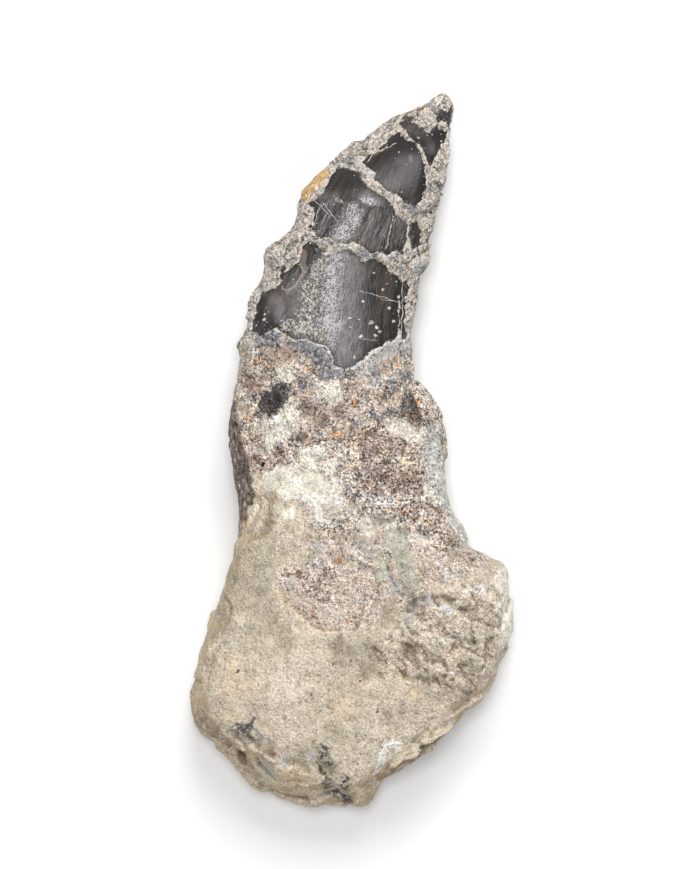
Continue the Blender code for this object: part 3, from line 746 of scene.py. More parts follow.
def tooth_grid(stations, count, bare):
    """Rings of the tooth's form, stations by points around, with the crust's outline or bare of it."""
    grid = np.zeros((len(stations), count, 3))
    sides = plain_sides if bare else profile_sides
    for row, y in enumerate(stations):
        left, right, middle, half = section_at(y, sides)
        inset = crust_limit(y) + 1.6 * (1 - step(y, 12, 16)) if bare else 0.0
        power = 2.2 - 0.3 * step(y, 20, 34)
        section = ring(left + inset, right - inset, middle, half - inset, power, count)
        centre = section.mean(axis=0)
        section = centre + (section - centre) * np.sqrt(1 - (1 - min((TIP_Y - y) / TIP_ROUND, 1)) ** 2)
        grid[row, :, 0], grid[row, :, 1], grid[row, :, 2] = section[:, 0], y, section[:, 1]
    return grid


def crust_limit(y):
    """Full thickness of the crust, less towards the tip."""
    return CRUST * (0.4 + 0.6 * step(TIP_Y - y, 0.0, 12.0))


def grid_normals(grid):
    """Outward unit normals of a grid of rings."""
    around = np.roll(grid, -1, axis=1) - np.roll(grid, 1, axis=1)
    along = np.gradient(grid, axis=0)
    normal = np.cross(around, along)
    normal /= np.maximum(np.linalg.norm(normal, axis=2), 1e-12)[..., None]
    return normal


def tube_faces(rows, count):
    """Faces round a grid of rings, its two ends flat."""
    faces = []
    for row in range(rows - 1):
        for k in range(count):
            after = (k + 1) % count
            faces.append((row * count + k, row * count + after, (row + 1) * count + after,
                          (row + 1) * count + k))
    last = (rows - 1) * count
    return faces + [tuple(range(count))[::-1], tuple(range(last, last + count))]


def grid_piece(name, grid, material):
    """An object from a grid of rings, its two ends closed."""
    return make_piece(name, grid.reshape(-1, 3), tube_faces(*grid.shape[:2]), material)


# ---------------------------------------------------------------- relief of the crust and the neck

# Hollows and swellings on the front: X, Y, radius, height.
NECK_LUMPS = [(-15.4, 38.6, 3.4, 0.8), (-16.2, 35.4, 2.4, 0.5), (-19.6, 26.6, 1.4, 0.5),
    (14.4, 37.2, 2.6, 0.6), (10.6, 46.9, 1.8, 0.4), (19.3, 69.2, 1.8, 0.4), (15.4, 65.6, 1.9, 0.5),
    (19.0, 65.2, 1.2, 0.4), (2.6, 56.0, 1.8, 0.4), (-7.4, 40.7, 1.7, 0.4), (-18.8, 17.5, 3.6, 0.5),
    (-11.0, 15.0, 4.0, 0.5), (-3.0, 11.5, 4.2, 0.6), (8.5, 16.5, 4.4, 0.5), (10.0, 9.5, 4.0, 0.5),
    (-13.2, 3.6, 4.6, 0.5), (-7.0, 0.0, 4.4, 0.4), (3.0, -3.0, 6.0, 0.5), (-1.0, 5.2, 2.6, -0.4),
    (-9.0, 8.5, 2.8, -0.5), (-15.4, 9.6, 3.1, -1.5), (-17.4, -3.1, 0.9, -0.8), (4.6, 12.6, 2.2, -0.4),
    (-13.4, 36.2, 0.55, -0.5), (-20.6, 12.4, 2.0, -0.4)]
# Cracks and ledges on the front: width, depth and the points they run through.
NECK_CRACKS = [
    (0.9, 0.3, [(4.4, 5.7), (7.6, 6.6), (10.8, 8.0), (14.0, 7.2), (16.8, 6.8)]),
    (0.5, 0.4, [(-18.2, 22.9), (-14.6, 21.4), (-11.2, 21.0)]),
    (0.5, 0.4, [(-12.6, 10.4), (-9.4, 11.7), (-8.6, 14.0)]),
]


def window_distance(points, front):
    """Distance in mm to the edge of the nearest opening in the crust, positive where enamel shows."""
    x, y = points[:, 0], points[:, 1]
    flat = np.column_stack([x, y, np.zeros(len(x))])
    ragged = [0.30 * noise(flat, 2.1, 11 + k) + 0.32 * noise(flat, 0.8, 21 + k) for k in range(2)]
    drift = [2.2 * noise(points, BACK_WANDER, 31 + k) for k in range(2)]
    x = x + ragged[0] - np.where(front, 0, BACK_SHIFT[0] + drift[0])
    y = y + ragged[1] - np.where(front, 0, BACK_SHIFT[1] + drift[1])
    return np.max([outline_distance(x, y, outline) for outline in ENAMEL_WINDOWS.values()], axis=0) + 0.2


def bumps(x, y, lumps):
    """Summed height of round hollows and swellings."""
    total = np.zeros(len(x))
    for centre_x, centre_y, radius, height in lumps:
        share = ((x - centre_x) ** 2 + (y - centre_y) ** 2) / radius**2
        total += height * np.clip(1 - share, 0, 1) ** 2
    return total


def cracks(x, y, lines):
    """Summed depth of cracks, as negative heights."""
    total = np.zeros(len(x))
    for width, depth, line in lines:
        total -= depth * hill(line_distance(x, y, line), 0, width)
    return total


def facets(points, size, tilt, seed):
    """Height of flat chips about this size, each tilted its own way, with creases between them."""
    first = np.full(len(points), FAR)
    height = np.zeros(len(points))
    for near, way, away in nearby_grains(points, size, seed):
        lean = np.column_stack([hashed(near, seed + 5 + axis) for axis in range(3)]) * 2 - 1
        height = np.where(away < first, (way * lean).sum(axis=1), height)
        first = np.minimum(first, away)
    return height * tilt * size


def granular(points, seed):
    """Height of packed sand and small lumps, about -0.5 to 0.5."""
    large = 0.55 - grains(points, 2.6, seed)[0]
    small = 0.55 - grains(points, 1.15, seed + 5)[0]
    return 0.55 * large + 0.35 * small + 0.35 * layered(points, 5.0, seed + 9, 3)


def crust_piece(material):
    """The rock crust on the crown and the sandy neck, sunk below the enamel where it has fallen off."""
    stations = np.concatenate([TIP_Y - np.array([0.01, 0.05, 0.12, 0.25, 0.4, 0.6]),
                               np.arange(TIP_Y - 0.85, -21.0, -0.3)])
    outer, bare = (tooth_grid(stations, CRUST_AROUND, plain) for plain in (False, True))
    normal = grid_normals(outer).reshape(-1, 3)
    shape = outer.shape
    outer, bare = outer.reshape(-1, 3), bare.reshape(-1, 3)
    front = normal[:, 2] > 0
    x, y = outer[:, 0], outer[:, 1]
    window = window_distance(outer, front)
    bared = step(window, -0.2, 0.1)
    neck = 1 - step(y, 14, 22)
    flank = (1 - step(x, -21.5, -18.0)) * (1 - step(y, 6, 16))
    thin = (0.35 + 0.65 * step(-window, 0.1, 2.2)) * (1 + (0.5 - 0.35 * neck) * layered(outer, 3.2, 41, 2))
    plate = step(np.maximum(patch_share(x, y, "grey"), patch_share(x, y, "tan")), -0.1, 0.25) * front
    sand = granular(outer, 51)
    flaky = 0.12 * sand + facets(outer, 3.0, 0.24, 55) + facets(outer, 1.5, 0.13, 57)
    away = 0.45 + 0.55 * step(-window, 0.2, 1.8)
    relief = (sand * neck + flaky * (1 - neck) * away) * 0.95
    relief *= (1 - 0.6 * flank) * (1 - 0.8 * plate)
    relief += 0.18 * plate
    relief += flank * 0.3 * noise(outer * (1, 0.16, 1), 0.9, 61)
    relief += np.where(front, bumps(x, y, NECK_LUMPS) + cracks(x, y, NECK_CRACKS), 0)
    relief *= (0.35 + 0.65 * step(TIP_Y - y, 0.0, 6.0)) * (0.6 + 0.4 * step(np.abs(normal[:, 2]), 0.1, 0.5))
    height = relief * (1 - bared) - 0.45 * bared
    points = bare + (outer - bare) * (thin * (1 - bared))[:, None] + normal * height[:, None]
    made = grid_piece("crust_and_neck", points.reshape(shape), material)
    marks = paint(points, normal)
    marks["window"] = window
    under_window = front * (1 - step(y, 20, 24)) * (1 - step(x, 0.5, 3.0)) * (0.3 + 0.7 * step(x, -14, -10))
    add_share(marks, "blue", step(window, -2.4, -1.4) * under_window * 0.8)
    add_share(marks, "grey", step(window, -3.4, -1.6) * front * (1 - step(y, 22, 26)) * step(x, 0.5, 3.0))
    add_share(marks, "white", (1 - np.abs(window + 0.3) / 0.3) * front * (1 - step(y, 20, 24)))
    soft = relief.reshape(shape[:2])
    for axis in (0, 1):
        soft = (np.roll(soft, 2, axis) + soft + np.roll(soft, -2, axis)) / 3
    # Painted shade in the crust's low spots, for the material to darken.
    marks["hollow"] = soft.ravel() - relief
    mark(made, marks)
    return made


# Panels in the middle opening where the outer enamel has split away.
PANELS = [
    [(3.2, 48.0), (6.2, 48.4), (7.9, 47.6), (7.8, 45.0), (7.2, 42.5), (6.6, 39.0), (2.4, 39.6), (1.6, 42.0),
        (2.2, 45.0)],
    [(9.0, 47.4), (10.0, 46.2), (12.2, 44.6), (11.4, 41.4), (10.8, 39.2), (7.6, 39.2), (8.0, 42.5),
        (8.5, 45.4)],
    [(-7.4, 48.4), (-5.2, 49.8), (-3.2, 50.0), (-2.8, 48.2), (-3.4, 45.6), (-4.0, 43.2), (-5.2, 42.0),
        (-7.2, 42.6)],
]
WIDEST_GIRTH = 92.0


def areas(x, y, bands):
    """How far inside the nearest of these bands each point lies: 1 at its middle, 0 at its edge."""
    share = [1 - line_distance(x, y, line) / half_width for half_width, line in bands]
    return np.clip(np.max(share, axis=0), -1, 1)


def enamel_piece(material):
    """The tooth itself, bare of crust, its root out of sight inside the block."""
    stations = np.concatenate([[TIP_Y - 0.9, TIP_Y - 1.1], np.arange(TIP_Y - 1.4, 12.0, -0.35),
                               np.arange(11.4, -20.0, -1.5)])
    grid = tooth_grid(stations, ENAMEL_AROUND, True)
    normal = grid_normals(grid)
    flat = grid.reshape(-1, 3)
    swell = 0.10 * noise(flat * (1, 0.5, 1), 5.0, 71) + 0.05 * noise(flat * (1, 0.4, 1), 2.0, 72)
    grid = grid + normal * swell.reshape(grid.shape[:2])[..., None]
    made = grid_piece("enamel", grid, material)
    rows, count = grid.shape[:2]
    front = normal.reshape(-1, 3)[:, 2] > 0
    x, y = flat[:, 0], flat[:, 1]
    marks = {colour: areas(x, y, AREAS[colour]) * front for colour in AREAS}
    shaken = [x + 0.3 * noise(flat, 0.9, 81), y + 0.6 * noise(flat * (1, 0.5, 1), 0.9, 82)]
    panel = np.max([outline_distance(*shaken, outline) for outline in PANELS], axis=0)
    marks["panel"] = np.where(front, panel, -1)
    marks["across"] = np.tile(np.arange(count) * WIDEST_GIRTH / count, rows)
    marks["along"] = flat[:, 1]
    marks["window"] = window_distance(flat, front)
    mark(made, marks)
    return made


# Pale specks on the front's enamel: X, Y, radius.
SPECKS = [(6.5, 31.8, 0.35), (2.6, 29.4, 0.3), (-0.1, 26.1, 0.35), (4.2, 25.2, 0.55), (5.3, 24.2, 0.45),
    (5.9, 23.4, 0.4), (2.2, 22.5, 0.5), (7.7, 28.1, 0.35), (8.6, 25.5, 0.4), (5.0, 22.7, 0.3),
    (0.8, 18.2, 0.35), (-17.0, 25.8, 0.4), (-16.9, 26.9, 0.3), (7.2, 30.1, 0.25), (4.7, 35.1, 0.25),
    (-15.4, 32.4, 0.5), (-15.0, 34.0, 0.35), (9.6, 30.4, 0.35), (7.4, 33.0, 0.2), (9.2, 33.4, 0.25),
    (11.0, 30.2, 0.4), (3.6, 60.6, 0.3), (13.6, 62.2, 0.25), (-5.4, 51.3, 0.22), (18.2, 61.6, 0.25),
    (-1.4, 48.0, 0.2)]
STRAY_SPECKS = 150
STRAY_TRIES = 4000
# Thin veins standing a little above the enamel: half width and points.
VEINS = [
    (0.10, [(-13.5, 32.8), (-13.2, 31.9), (-12.3, 31.6), (-11.0, 32.6), (-9.9, 33.9), (-9.4, 35.4),
        (-9.7, 36.6), (-10.6, 36.9)]),
    (0.06, [(1.6, 31.6), (3.3, 31.2), (5.4, 30.7), (7.6, 29.9), (9.8, 29.2)]),
    (0.045, [(4.6, 31.0), (6.8, 29.7), (9.0, 29.6)]),
    (0.09, [(3.0, 57.0), (4.8, 59.0), (7.4, 60.2), (9.4, 61.2)]),
    (0.07, [(4.6, 59.6), (6.2, 59.4), (7.6, 60.9)]),
    (0.10, [(10.5, 34.4), (10.3, 31.0), (10.4, 27.0), (10.2, 23.6), (10.0, 21.6)]),
    (0.08, [(8.6, 47.2), (8.2, 44.4), (7.5, 41.2), (7.1, 39.6)]),
    (0.07, [(-2.0, 44.8), (-5.2, 49.0), (-6.6, 47.0), (-7.0, 44.4)]), (0.06, [(-7.6, 50.4), (-4.0, 46.6)]),
    (0.05, [(2.0, 22.0), (5.6, 21.6)]),
]
# Chalky scratches and edges on the rock: half width and points.
CHALK_MARKS = [
    (0.2, [(4.4, -64.9), (5.2, -63.4), (5.9, -61.8), (6.2, -60.2), (6.9, -59.0), (8.4, -58.4), (9.8, -58.3),
        (11.0, -58.8)]),
    (0.16, [(5.0, -64.6), (6.2, -63.4), (6.8, -61.8), (7.0, -60.6), (7.8, -59.6)]),
    (0.1, [(9.0, -59.0), (9.8, -59.8), (10.6, -59.8)]), (0.1, [(5.4, -63.0), (6.3, -62.4)]),
    (0.1, [(8.6, -59.8), (9.4, -60.8)]), (0.08, [(6.2, -60.6), (7.0, -60.2)]),
    (0.13, [(0.2, -20.5), (2.2, -21.5), (4.4, -23.1)]), (0.11, [(0.9, -19.6), (3.0, -20.9), (4.8, -21.4)]),
    (0.1, [(-0.4, -19.2), (1.6, -21.4), (3.6, -23.0)]),
    (0.12, [(4.8, -11.2), (6.6, -10.6), (8.8, -10.8), (10.4, -11.6)]),
    (0.1, [(5.4, -10.2), (7.2, -11.4), (9.0, -10.2)]), (0.1, [(-6.2, -13.2), (-4.4, -14.2), (-2.6, -14.8)]),
    (0.08, [(-12.6, -1.2), (-9.6, -3.6), (-7.0, -5.2), (-5.4, -6.8)]),
    (0.1, [(-10.8, -7.0), (-9.6, -8.4), (-8.4, -9.0)]),
    (0.08, [(18.4, -37.2), (19.6, -38.0), (21.0, -37.6)]),
    (0.08, [(5.2, -18.6), (6.4, -19.8), (7.0, -21.6), (6.2, -23.0), (5.0, -23.6)]),
    (0.09, [(27.0, -27.4), (28.6, -29.6), (29.4, -32.4)]), (0.07, [(-19.6, -52.2), (-18.4, -53.0)]),
    (0.08, [(23.6, -36.0), (25.4, -37.4), (26.8, -37.2)]),
    (0.09, [(-12.8, -24.6), (-13.4, -26.4), (-12.6, -28.0)]),
]
# Spacing of the points along a vein, its cross-section in half widths, and where rays down to the rock start.
VEIN_STEP = 0.2
VEIN_PROFILE = [(1.0, -0.6), (0.7, 0.35), (0.0, 0.7), (-0.7, 0.35), (-1.0, -0.6)]
HIGH_ABOVE = 99.0


def marks_piece(name, material, grounds, specks, veins, seed):
    """Specks and thin veins standing a little above the highest of the ground pieces, one mesh."""
    trees = [BVHTree.FromPolygons([vertex.co / MM for vertex in ground.data.vertices],
                                  [face.vertices for face in ground.data.polygons])
             for ground in grounds]
    parts, faces, count = [], [], 0

    def surface(x, y):
        hits = [tree.ray_cast((x, y, HIGH_ABOVE), (0, 0, -1))[0] for tree in trees]
        return max((hit.z for hit in hits if hit), default=None)

    ball = bmesh.new()
    bmesh.ops.create_icosphere(ball, subdivisions=2, radius=1.0)
    ball_points = np.array([vertex.co for vertex in ball.verts])
    ball_faces = [[vertex.index for vertex in face.verts] for face in ball.faces]
    ball.free()
    for number, (x, y, radius) in enumerate(specks):
        height = surface(x, y)
        if height is None:
            continue
        lump = ball_points * (1, 0.85, 0.4)
        lump = lump * (1 + 0.9 * noise(ball_points + 7.0 * number, 0.8, seed))[:, None] * radius
        parts.append(lump + (x, y, height + 0.1 * radius))
        faces += [[corner + count for corner in face] for face in ball_faces]
        count += len(lump)
    for number, (half_width, line) in enumerate(veins):
        line = np.array(line)
        walked = np.concatenate([[0], np.cumsum(np.hypot(*np.diff(line, axis=0).T))])
        steps = np.linspace(0, walked[-1], int(walked[-1] / VEIN_STEP) + 2)
        path = np.column_stack([np.interp(steps, walked, line[:, k]) for k in range(2)] + [steps * 0])
        path[:, :2] += 0.22 * np.column_stack([noise(path + 20.0 * number, 0.9, seed + k) for k in (1, 2)])
        path[:, 2] = [surface(x, y) for x, y in path[:, :2]]
        way = np.gradient(path, axis=0)
        side = np.cross(way, (0, 0, 1.0))
        side /= np.linalg.norm(side, axis=1)[:, None]
        taper = np.clip(np.minimum(steps, steps[-1] - steps) / 0.5, 0.1, 1)
        width = half_width * (1 + 0.8 * noise(path, 0.7, seed + 3)) * taper
        strip = [path + side * (width * u)[:, None] + np.outer(width * v, (0, 0, 1)) for u, v in VEIN_PROFILE]
        strip = np.stack(strip, axis=1)
        parts.append(strip.reshape(-1, 3))
        faces += [[corner + count for corner in face] for face in tube_faces(len(path), len(VEIN_PROFILE))]
        count += strip.shape[0] * strip.shape[1]
    return make_piece(name, np.vstack(parts), faces, material)


def stray_specks():
    """Tiny specks scattered over the enamel, mostly close to the crust."""
    tries = np.arange(STRAY_TRIES)[:, None] * (1, 0, 0)
    stray = np.column_stack([-20 + 40 * hashed(tries, 401), 16 + 52 * hashed(tries, 402),
                             0.07 + 0.12 * hashed(tries, 403) ** 2])
    bare = window_distance(stray * (1, 1, 0), np.ones(len(stray), bool))
    wanted = np.exp(-np.maximum(bare - 0.1, 0) / 1.2) + 0.08
    return stray[(bare > 0.1) & (hashed(tries, 404) < wanted)][:STRAY_SPECKS].tolist()


# ---------------------------------------------------------------- where the rock's colours lie

# Patches on the front, by colour: X, Y, radius of a round one, or the corners of an outline.
PATCHES = {
    # Painted shade, not a colour of the rock: soft dark patches in hollows and along creases.
    "shade": [(-25.0, -58.2, 2.2), (-21.4, -63.2, 2.2), (-18.6, -65.4, 1.8), (-20.0, -56.4, 1.8),
        (-17.2, -58.2, 1.8), (-14.4, -60.4, 2.0), (-10.4, -61.6, 2.0), (-12.6, -68.2, 1.8),
        (-6.4, -62.6, 1.8), (-4.4, -67.6, 1.8), (-0.6, -42.0, 4.0), (2.4, -44.6, 3.0), (4.6, -37.6, 2.6),
        (-2.0, -38.6, 2.6), (11.6, -32.4, 2.4), (14.6, -29.8, 1.8), (19.6, -29.6, 2.2), (23.4, -31.6, 2.6),
        (12.4, -39.4, 3.0), (15.4, -45.2, 2.8), (20.0, -46.2, 2.6), (23.4, -48.6, 1.8), (22.6, -40.0, 2.0),
        (10.6, -44.6, 2.4), (16.4, -41.8, 2.2), (-25.6, -31.0, 2.2), (-27.0, -37.0, 2.2),
        (-27.8, -42.0, 1.8), (-17.2, -31.0, 3.6), (-16.0, -35.4, 2.8), (-12.6, -38.0, 2.8),
        (-30.4, -52.6, 1.8), (-27.4, -55.4, 2.2), (9.6, -55.6, 1.8), (10.8, -51.6, 1.8), (7.2, -52.4, 2.2),
        (18.0, -49.0, 1.6), (6.6, -21.0, 1.6), (8.0, -25.6, 1.4), (-6.4, -18.4, 2.4), (-7.0, -22.0, 2.4),
        (1.0, -17.6, 2.4), (22.0, -53.0, 1.2), (3.6, -70.0, 1.8), (-23.2, -25.0, 3.4), (-18.6, -26.6, 3.0),
        (-20.6, -21.4, 2.6), (-24.0, -50.6, 3.0), (-27.6, -50.4, 2.4), (-19.0, -51.0, 2.4)],
    "tan": [
        [(-4.0, 55.6), (-5.2, 53.4), (-6.6, 51.8), (-8.8, 50.4), (-10.0, 49.2), (-10.6, 50.6), (-9.4, 52.6),
            (-7.2, 54.4), (-4.6, 56.6)],
    ],
    "cream": [
        [(-14.6, 14.6), (-13.8, 16.6), (-12.4, 16.8), (-11.6, 14.8), (-12.2, 13.2), (-13.8, 12.8)],
        [(-5.6, 13.9), (-3.6, 13.8), (-0.8, 13.2), (-0.9, 11.2), (-2.2, 9.8), (-3.4, 8.6), (-4.4, 10.2),
            (-5.2, 11.2), (-7.0, 11.6), (-6.2, 12.8)],
        [(-14.6, 6.5), (-12.4, 8.0), (-10.6, 9.0), (-9.8, 8.0), (-10.4, 5.8), (-11.6, 3.6), (-12.6, 1.8),
            (-14.0, 1.2), (-15.6, 0.2), (-17.4, 0.8), (-17.8, 2.4), (-17.4, 4.2), (-16.8, 5.6)],
        [(-9.6, 0.0), (-8.0, 1.0), (-5.8, 1.4), (-4.8, 2.0), (-4.6, 0.4), (-5.2, -1.6), (-3.4, -2.2),
            (-2.4, -4.0), (-3.4, -5.0), (-5.8, -4.0), (-8.6, -3.6), (-10.0, -1.8)],
        [(-14.8, -4.2), (-12.4, -3.4), (-11.0, -3.0), (-9.8, -4.4), (-8.0, -5.2), (-5.0, -4.8),
            (-2.0, -6.4), (-1.6, -8.6), (-5.0, -10.5), (-8.6, -10.4), (-11.0, -9.6), (-14.0, -9.8),
            (-17.2, -8.6), (-17.8, -6.4), (-16.4, -4.6)],
        [(7.2, 5.4), (8.6, 6.4), (10.2, 6.3), (12.2, 4.6), (13.6, 3.6), (14.2, 2.4), (13.2, 1.0),
            (11.6, 1.2), (10.0, 2.4), (8.4, 3.0), (7.2, 4.0)],
        [(15.4, -6.2), (16.6, -8.6), (18.0, -10.6), (16.8, -10.8), (15.2, -8.4), (14.6, -6.4)],
        [(31.0, -23.4), (29.0, -25.0), (29.6, -28.6), (29.4, -33.0), (30.0, -39.0), (34.0, -39.0),
            (34.0, -24.0)],
        (12.4, -17.6, 1.6), (14.6, -17.8, 1.2), (8.6, -15.0, 1.2), (29.6, -25.6, 1.6), (28.8, -31.0, 1.0),
        (20.4, 70.0, 1.0), (-6.8, 39.9, 1.2), (24.0, -27.6, 1.2), (26.4, -28.8, 1.0), (-1.0, -12.0, 2.4),
        (3.6, -15.4, 2.0), (-18.6, -12.0, 1.4), (-12.0, -12.6, 2.0), (-6.6, -12.4, 1.6),
    ],
    "brown": [(-22.6, -57.2, 1.2), (-18.0, -58.6, 1.2), (-15.2, -60.6, 1.3), (-12.4, -61.6, 1.0),
        (-24.4, -60.8, 1.0), (-15.6, 17.6, 3.6), (-19.4, 13.2, 2.6), (-16.8, 14.0, 1.6), (-9.0, 13.4, 1.4),
        (-8.0, 8.6, 2.8), (-6.0, 5.6, 2.8), (-2.0, 7.0, 2.2), (4.6, -4.2, 4.8), (9.0, -6.4, 3.2),
        (-12.0, 19.0, 2.2), (-8.4, 19.6, 1.6), (4.4, 1.0, 3.6), (9.0, 0.6, 2.6), (14.6, 6.4, 2.6),
        (11.8, 6.8, 2.0), (7.0, 10.4, 2.2), (1.0, 4.0, 2.4), (11.6, -5.8, 2.6), (13.0, -12.6, 2.4),
        (-13.6, -2.0, 2.4), (-18.4, -2.4, 2.0), (-9.6, 2.4, 1.6), (-8.4, -17.4, 1.2), (-2.4, -17.6, 2.0),
        (20.8, -20.6, 1.6), (20.2, -17.6, 1.8), (23.0, -31.6, 1.4), (12.0, -39.6, 1.4), (13.4, -43.2, 1.4),
        (18.6, -45.2, 1.4), (-12.8, -27.4, 0.9), (-6.6, -27.2, 1.4), (-9.8, -24.0, 0.9), (-4.9, -24.8, 0.9),
        (-27.1, -56.8, 1.4), (-29.6, -54.6, 1.2), (-24.4, -58.8, 1.0), (-22.3, -60.9, 0.9),
        (-19.9, -64.6, 1.1), (-18.2, -67.0, 1.0), (-15.6, -59.0, 1.2), (-17.4, -57.2, 1.0),
        (-5.9, -63.2, 0.9)],
    "blue": [
        [(-6.4, 16.6), (-3.0, 16.6), (1.0, 16.2), (2.2, 15.2), (0.6, 14.2), (-3.6, 14.2), (-5.8, 14.8)],
        [(-10.4, 22.0), (-7.4, 21.2), (-5.4, 19.8), (-3.4, 18.0), (-2.4, 16.2), (-4.4, 15.8), (-6.0, 16.6),
            (-7.8, 18.4), (-9.8, 19.8)],
        [(-19.4, 24.0), (-16.8, 24.2), (-14.4, 23.4), (-14.0, 21.8), (-16.2, 21.2), (-18.6, 21.6)],
        (-9.6, 13.2, 1.5), (-7.4, 13.4, 0.9), (-13.2, 8.0, 1.0), (4.8, 15.2, 1.6), (10.6, 14.8, 1.6),
        (11.4, 12.6, 1.2), (11.6, 10.4, 1.2), (6.2, 6.2, 1.2), (4.8, 7.0, 0.9), (10.4, 8.6, 1.0),
        (12.0, 9.2, 1.0), (1.6, 5.2, 1.0), (8.4, 13.0, 1.4), (-13.4, 36.4, 0.8), (1.0, 57.6, 1.2),
        (-0.6, 56.6, 1.0), (12.9, 47.4, 1.5), (11.2, 48.6, 1.0), (14.6, 46.6, 1.0), (16.2, 52.6, 1.1),
        (9.0, 38.4, 0.8), (3.8, 38.4, 1.0), (14.8, 35.6, 1.0), (13.6, 41.4, 1.2), (15.2, -16.6, 0.9),
    ],
    "grey": [
        [(7.6, -25.4), (8.6, -25.2), (10.0, -27.2), (10.4, -29.0), (9.4, -28.4), (8.2, -26.8)],
        [(15.2, 5.0), (17.8, 4.8), (18.2, 2.0), (17.8, -2.0), (15.4, -0.4), (14.6, 1.6)], (1.6, 57.4, 1.4),
        (-0.8, 56.6, 1.0), (7.4, 21.6, 1.2), (13.8, 36.6, 1.8), (4.0, 54.6, 1.3), (1.6, -18.4, 1.2),
        (-12.6, -27.2, 1.5), (-6.4, -19.6, 1.6), (2.6, -18.8, 1.8), (16.4, 66.4, 1.2), (-16.6, -63.6, 2.2),
        (-13.0, -61.8, 1.6), (-7.4, -61.0, 1.4), (8.8, 14.6, 1.2), (4.6, 13.4, 1.7), (7.0, -25.2, 0.8),
        (12.2, -31.4, 0.7),
    ],
    "dark": [
        [(-12.4, 12.4), (-13.0, 10.8), (-12.9, 9.2), (-13.6, 8.2), (-15.4, 7.2), (-16.8, 6.8), (-17.6, 8.0),
            (-18.0, 9.6), (-17.2, 10.8), (-17.0, 11.6), (-16.0, 11.2), (-15.0, 12.4), (-13.6, 12.6)],
        (-17.3, -2.9, 0.6), (-22.4, -43.9, 0.6), (-24.9, -40.4, 0.3), (-2.0, -68.4, 0.4),
        (-1.0, -66.2, 0.4), (0.2, -69.4, 0.5), (-11.0, -40.6, 0.35), (-8.0, -48.3, 0.4), (-7.8, -48.9, 0.3),
        (-6.8, -44.9, 0.25), (-3.1, -55.9, 0.35), (-13.2, -57.6, 0.4), (3.1, -56.4, 0.45),
        (9.2, -55.6, 0.35), (7.2, -41.1, 0.5), (10.8, -51.2, 0.3), (5.6, -52.0, 0.25), (-9.4, -51.2, 0.25),
        (13.4, -55.1, 0.25), (19.0, -48.2, 0.3), (21.9, -24.6, 0.35), (25.0, -31.9, 0.3), (2.4, -45.4, 0.4),
        (-3.0, -42.4, 0.5), (0.4, -41.4, 0.5),
    ],
    "soot": [(-21.6, -55.3, 2.0), (-20.4, -54.9, 1.4), (-23.0, -55.2, 1.0), (-5.4, -59.4, 1.9),
        (-4.6, -60.2, 1.4), (-6.4, -58.7, 1.0), (-2.8, -68.0, 1.9), (-1.4, -69.4, 1.7), (0.0, -70.3, 1.2),
        (-4.4, -66.9, 1.4), (-4.4, -62.2, 1.4)],
    "rust": [(2.8, 11.8, 0.6), (1.4, 12.8, 0.5), (0.7, 9.2, 0.8), (-20.4, 6.7, 0.9), (-18.7, 12.4, 0.6),
        (-8.5, 11.6, 0.5), (-18.8, 1.8, 0.6), (-2.1, 3.3, 0.6), (0.0, 2.6, 0.5), (13.4, 9.2, 0.7),
        (9.2, 16.4, 0.6), (-18.6, 17.4, 0.7), (-21.0, -13.6, 0.8), (-20.9, -15.0, 0.8), (-3.0, -22.0, 0.9),
        (-2.7, -19.6, 0.4), (10.6, -12.0, 0.5), (-6.8, -32.2, 0.5), (0.8, -32.8, 0.6), (-0.8, -34.2, 0.6),
        (7.8, -24.4, 0.4), (13.0, -33.8, 0.5), (11.4, -43.2, 0.5)],
    "green": [
        [(15.0, 3.6), (14.0, 1.0), (14.0, -1.2), (14.8, -3.8), (15.8, -6.5), (17.0, -9.0), (18.6, -12.0),
            (20.0, -15.0), (21.6, -17.6), (24.6, -20.4), (26.0, -18.0), (21.6, -12.0), (20.0, -7.0),
            (19.0, -3.0), (18.2, 0.0), (17.2, 3.0)],
    ],
    "sage": [
        [(6.6, -17.3), (7.9, -20.4), (9.7, -24.1), (11.0, -26.6), (12.9, -27.7), (13.8, -26.0),
            (12.9, -23.5), (11.6, -21.0), (11.6, -18.5), (10.4, -16.0), (8.5, -15.4)],
        [(5.2, -24.4), (5.4, -23.2), (6.2, -22.6), (7.2, -23.2), (7.4, -24.6), (6.6, -25.2), (5.4, -25.2)],
        [(-7.8, -6.2), (-6.4, -6.2), (-6.0, -7.4), (-7.0, -8.6), (-8.6, -8.4)],
    ],
    "white": [
        [(4.4, -64.8), (5.8, -62.4), (6.0, -60.2), (7.2, -58.6), (9.6, -58.2), (10.8, -59.4), (9.6, -60.2),
            (7.8, -59.8), (7.0, -61.6), (5.8, -64.4)],
        (-10.4, -6.4, 1.2), (-11.4, -6.0, 0.6), (-7.0, 14.6, 0.7), (-12.9, 0.6, 0.5), (-3.8, -29.4, 0.8),
        (1.6, -29.4, 0.9), (6.0, -10.8, 1.2), (8.2, -10.6, 1.2), (-4.6, -14.8, 0.8), (-3.4, -15.2, 0.6),
        (-13.4, -25.8, 0.9), (-3.2, -28.9, 0.9), (2.2, -29.2, 0.8), (-6.8, -22.2, 0.8), (-3.6, -18.0, 0.7),
        (-2.0, -10.6, 1.0), (26.6, -43.8, 0.9), (-18.6, -15.6, 0.6), (-16.4, 5.6, 0.9), (-14.4, 5.9, 0.8),
        (-13.0, 9.2, 0.6), (-18.2, 8.4, 0.5), (5.2, 12.8, 0.8), (7.2, 14.2, 0.6), (-9.4, 12.2, 0.5),
        (-18.4, 19.2, 0.8), (14.8, -12.4, 0.8), (2.4, 8.2, 0.6), (8.0, 8.8, 0.4), (19.0, -37.6, 0.7),
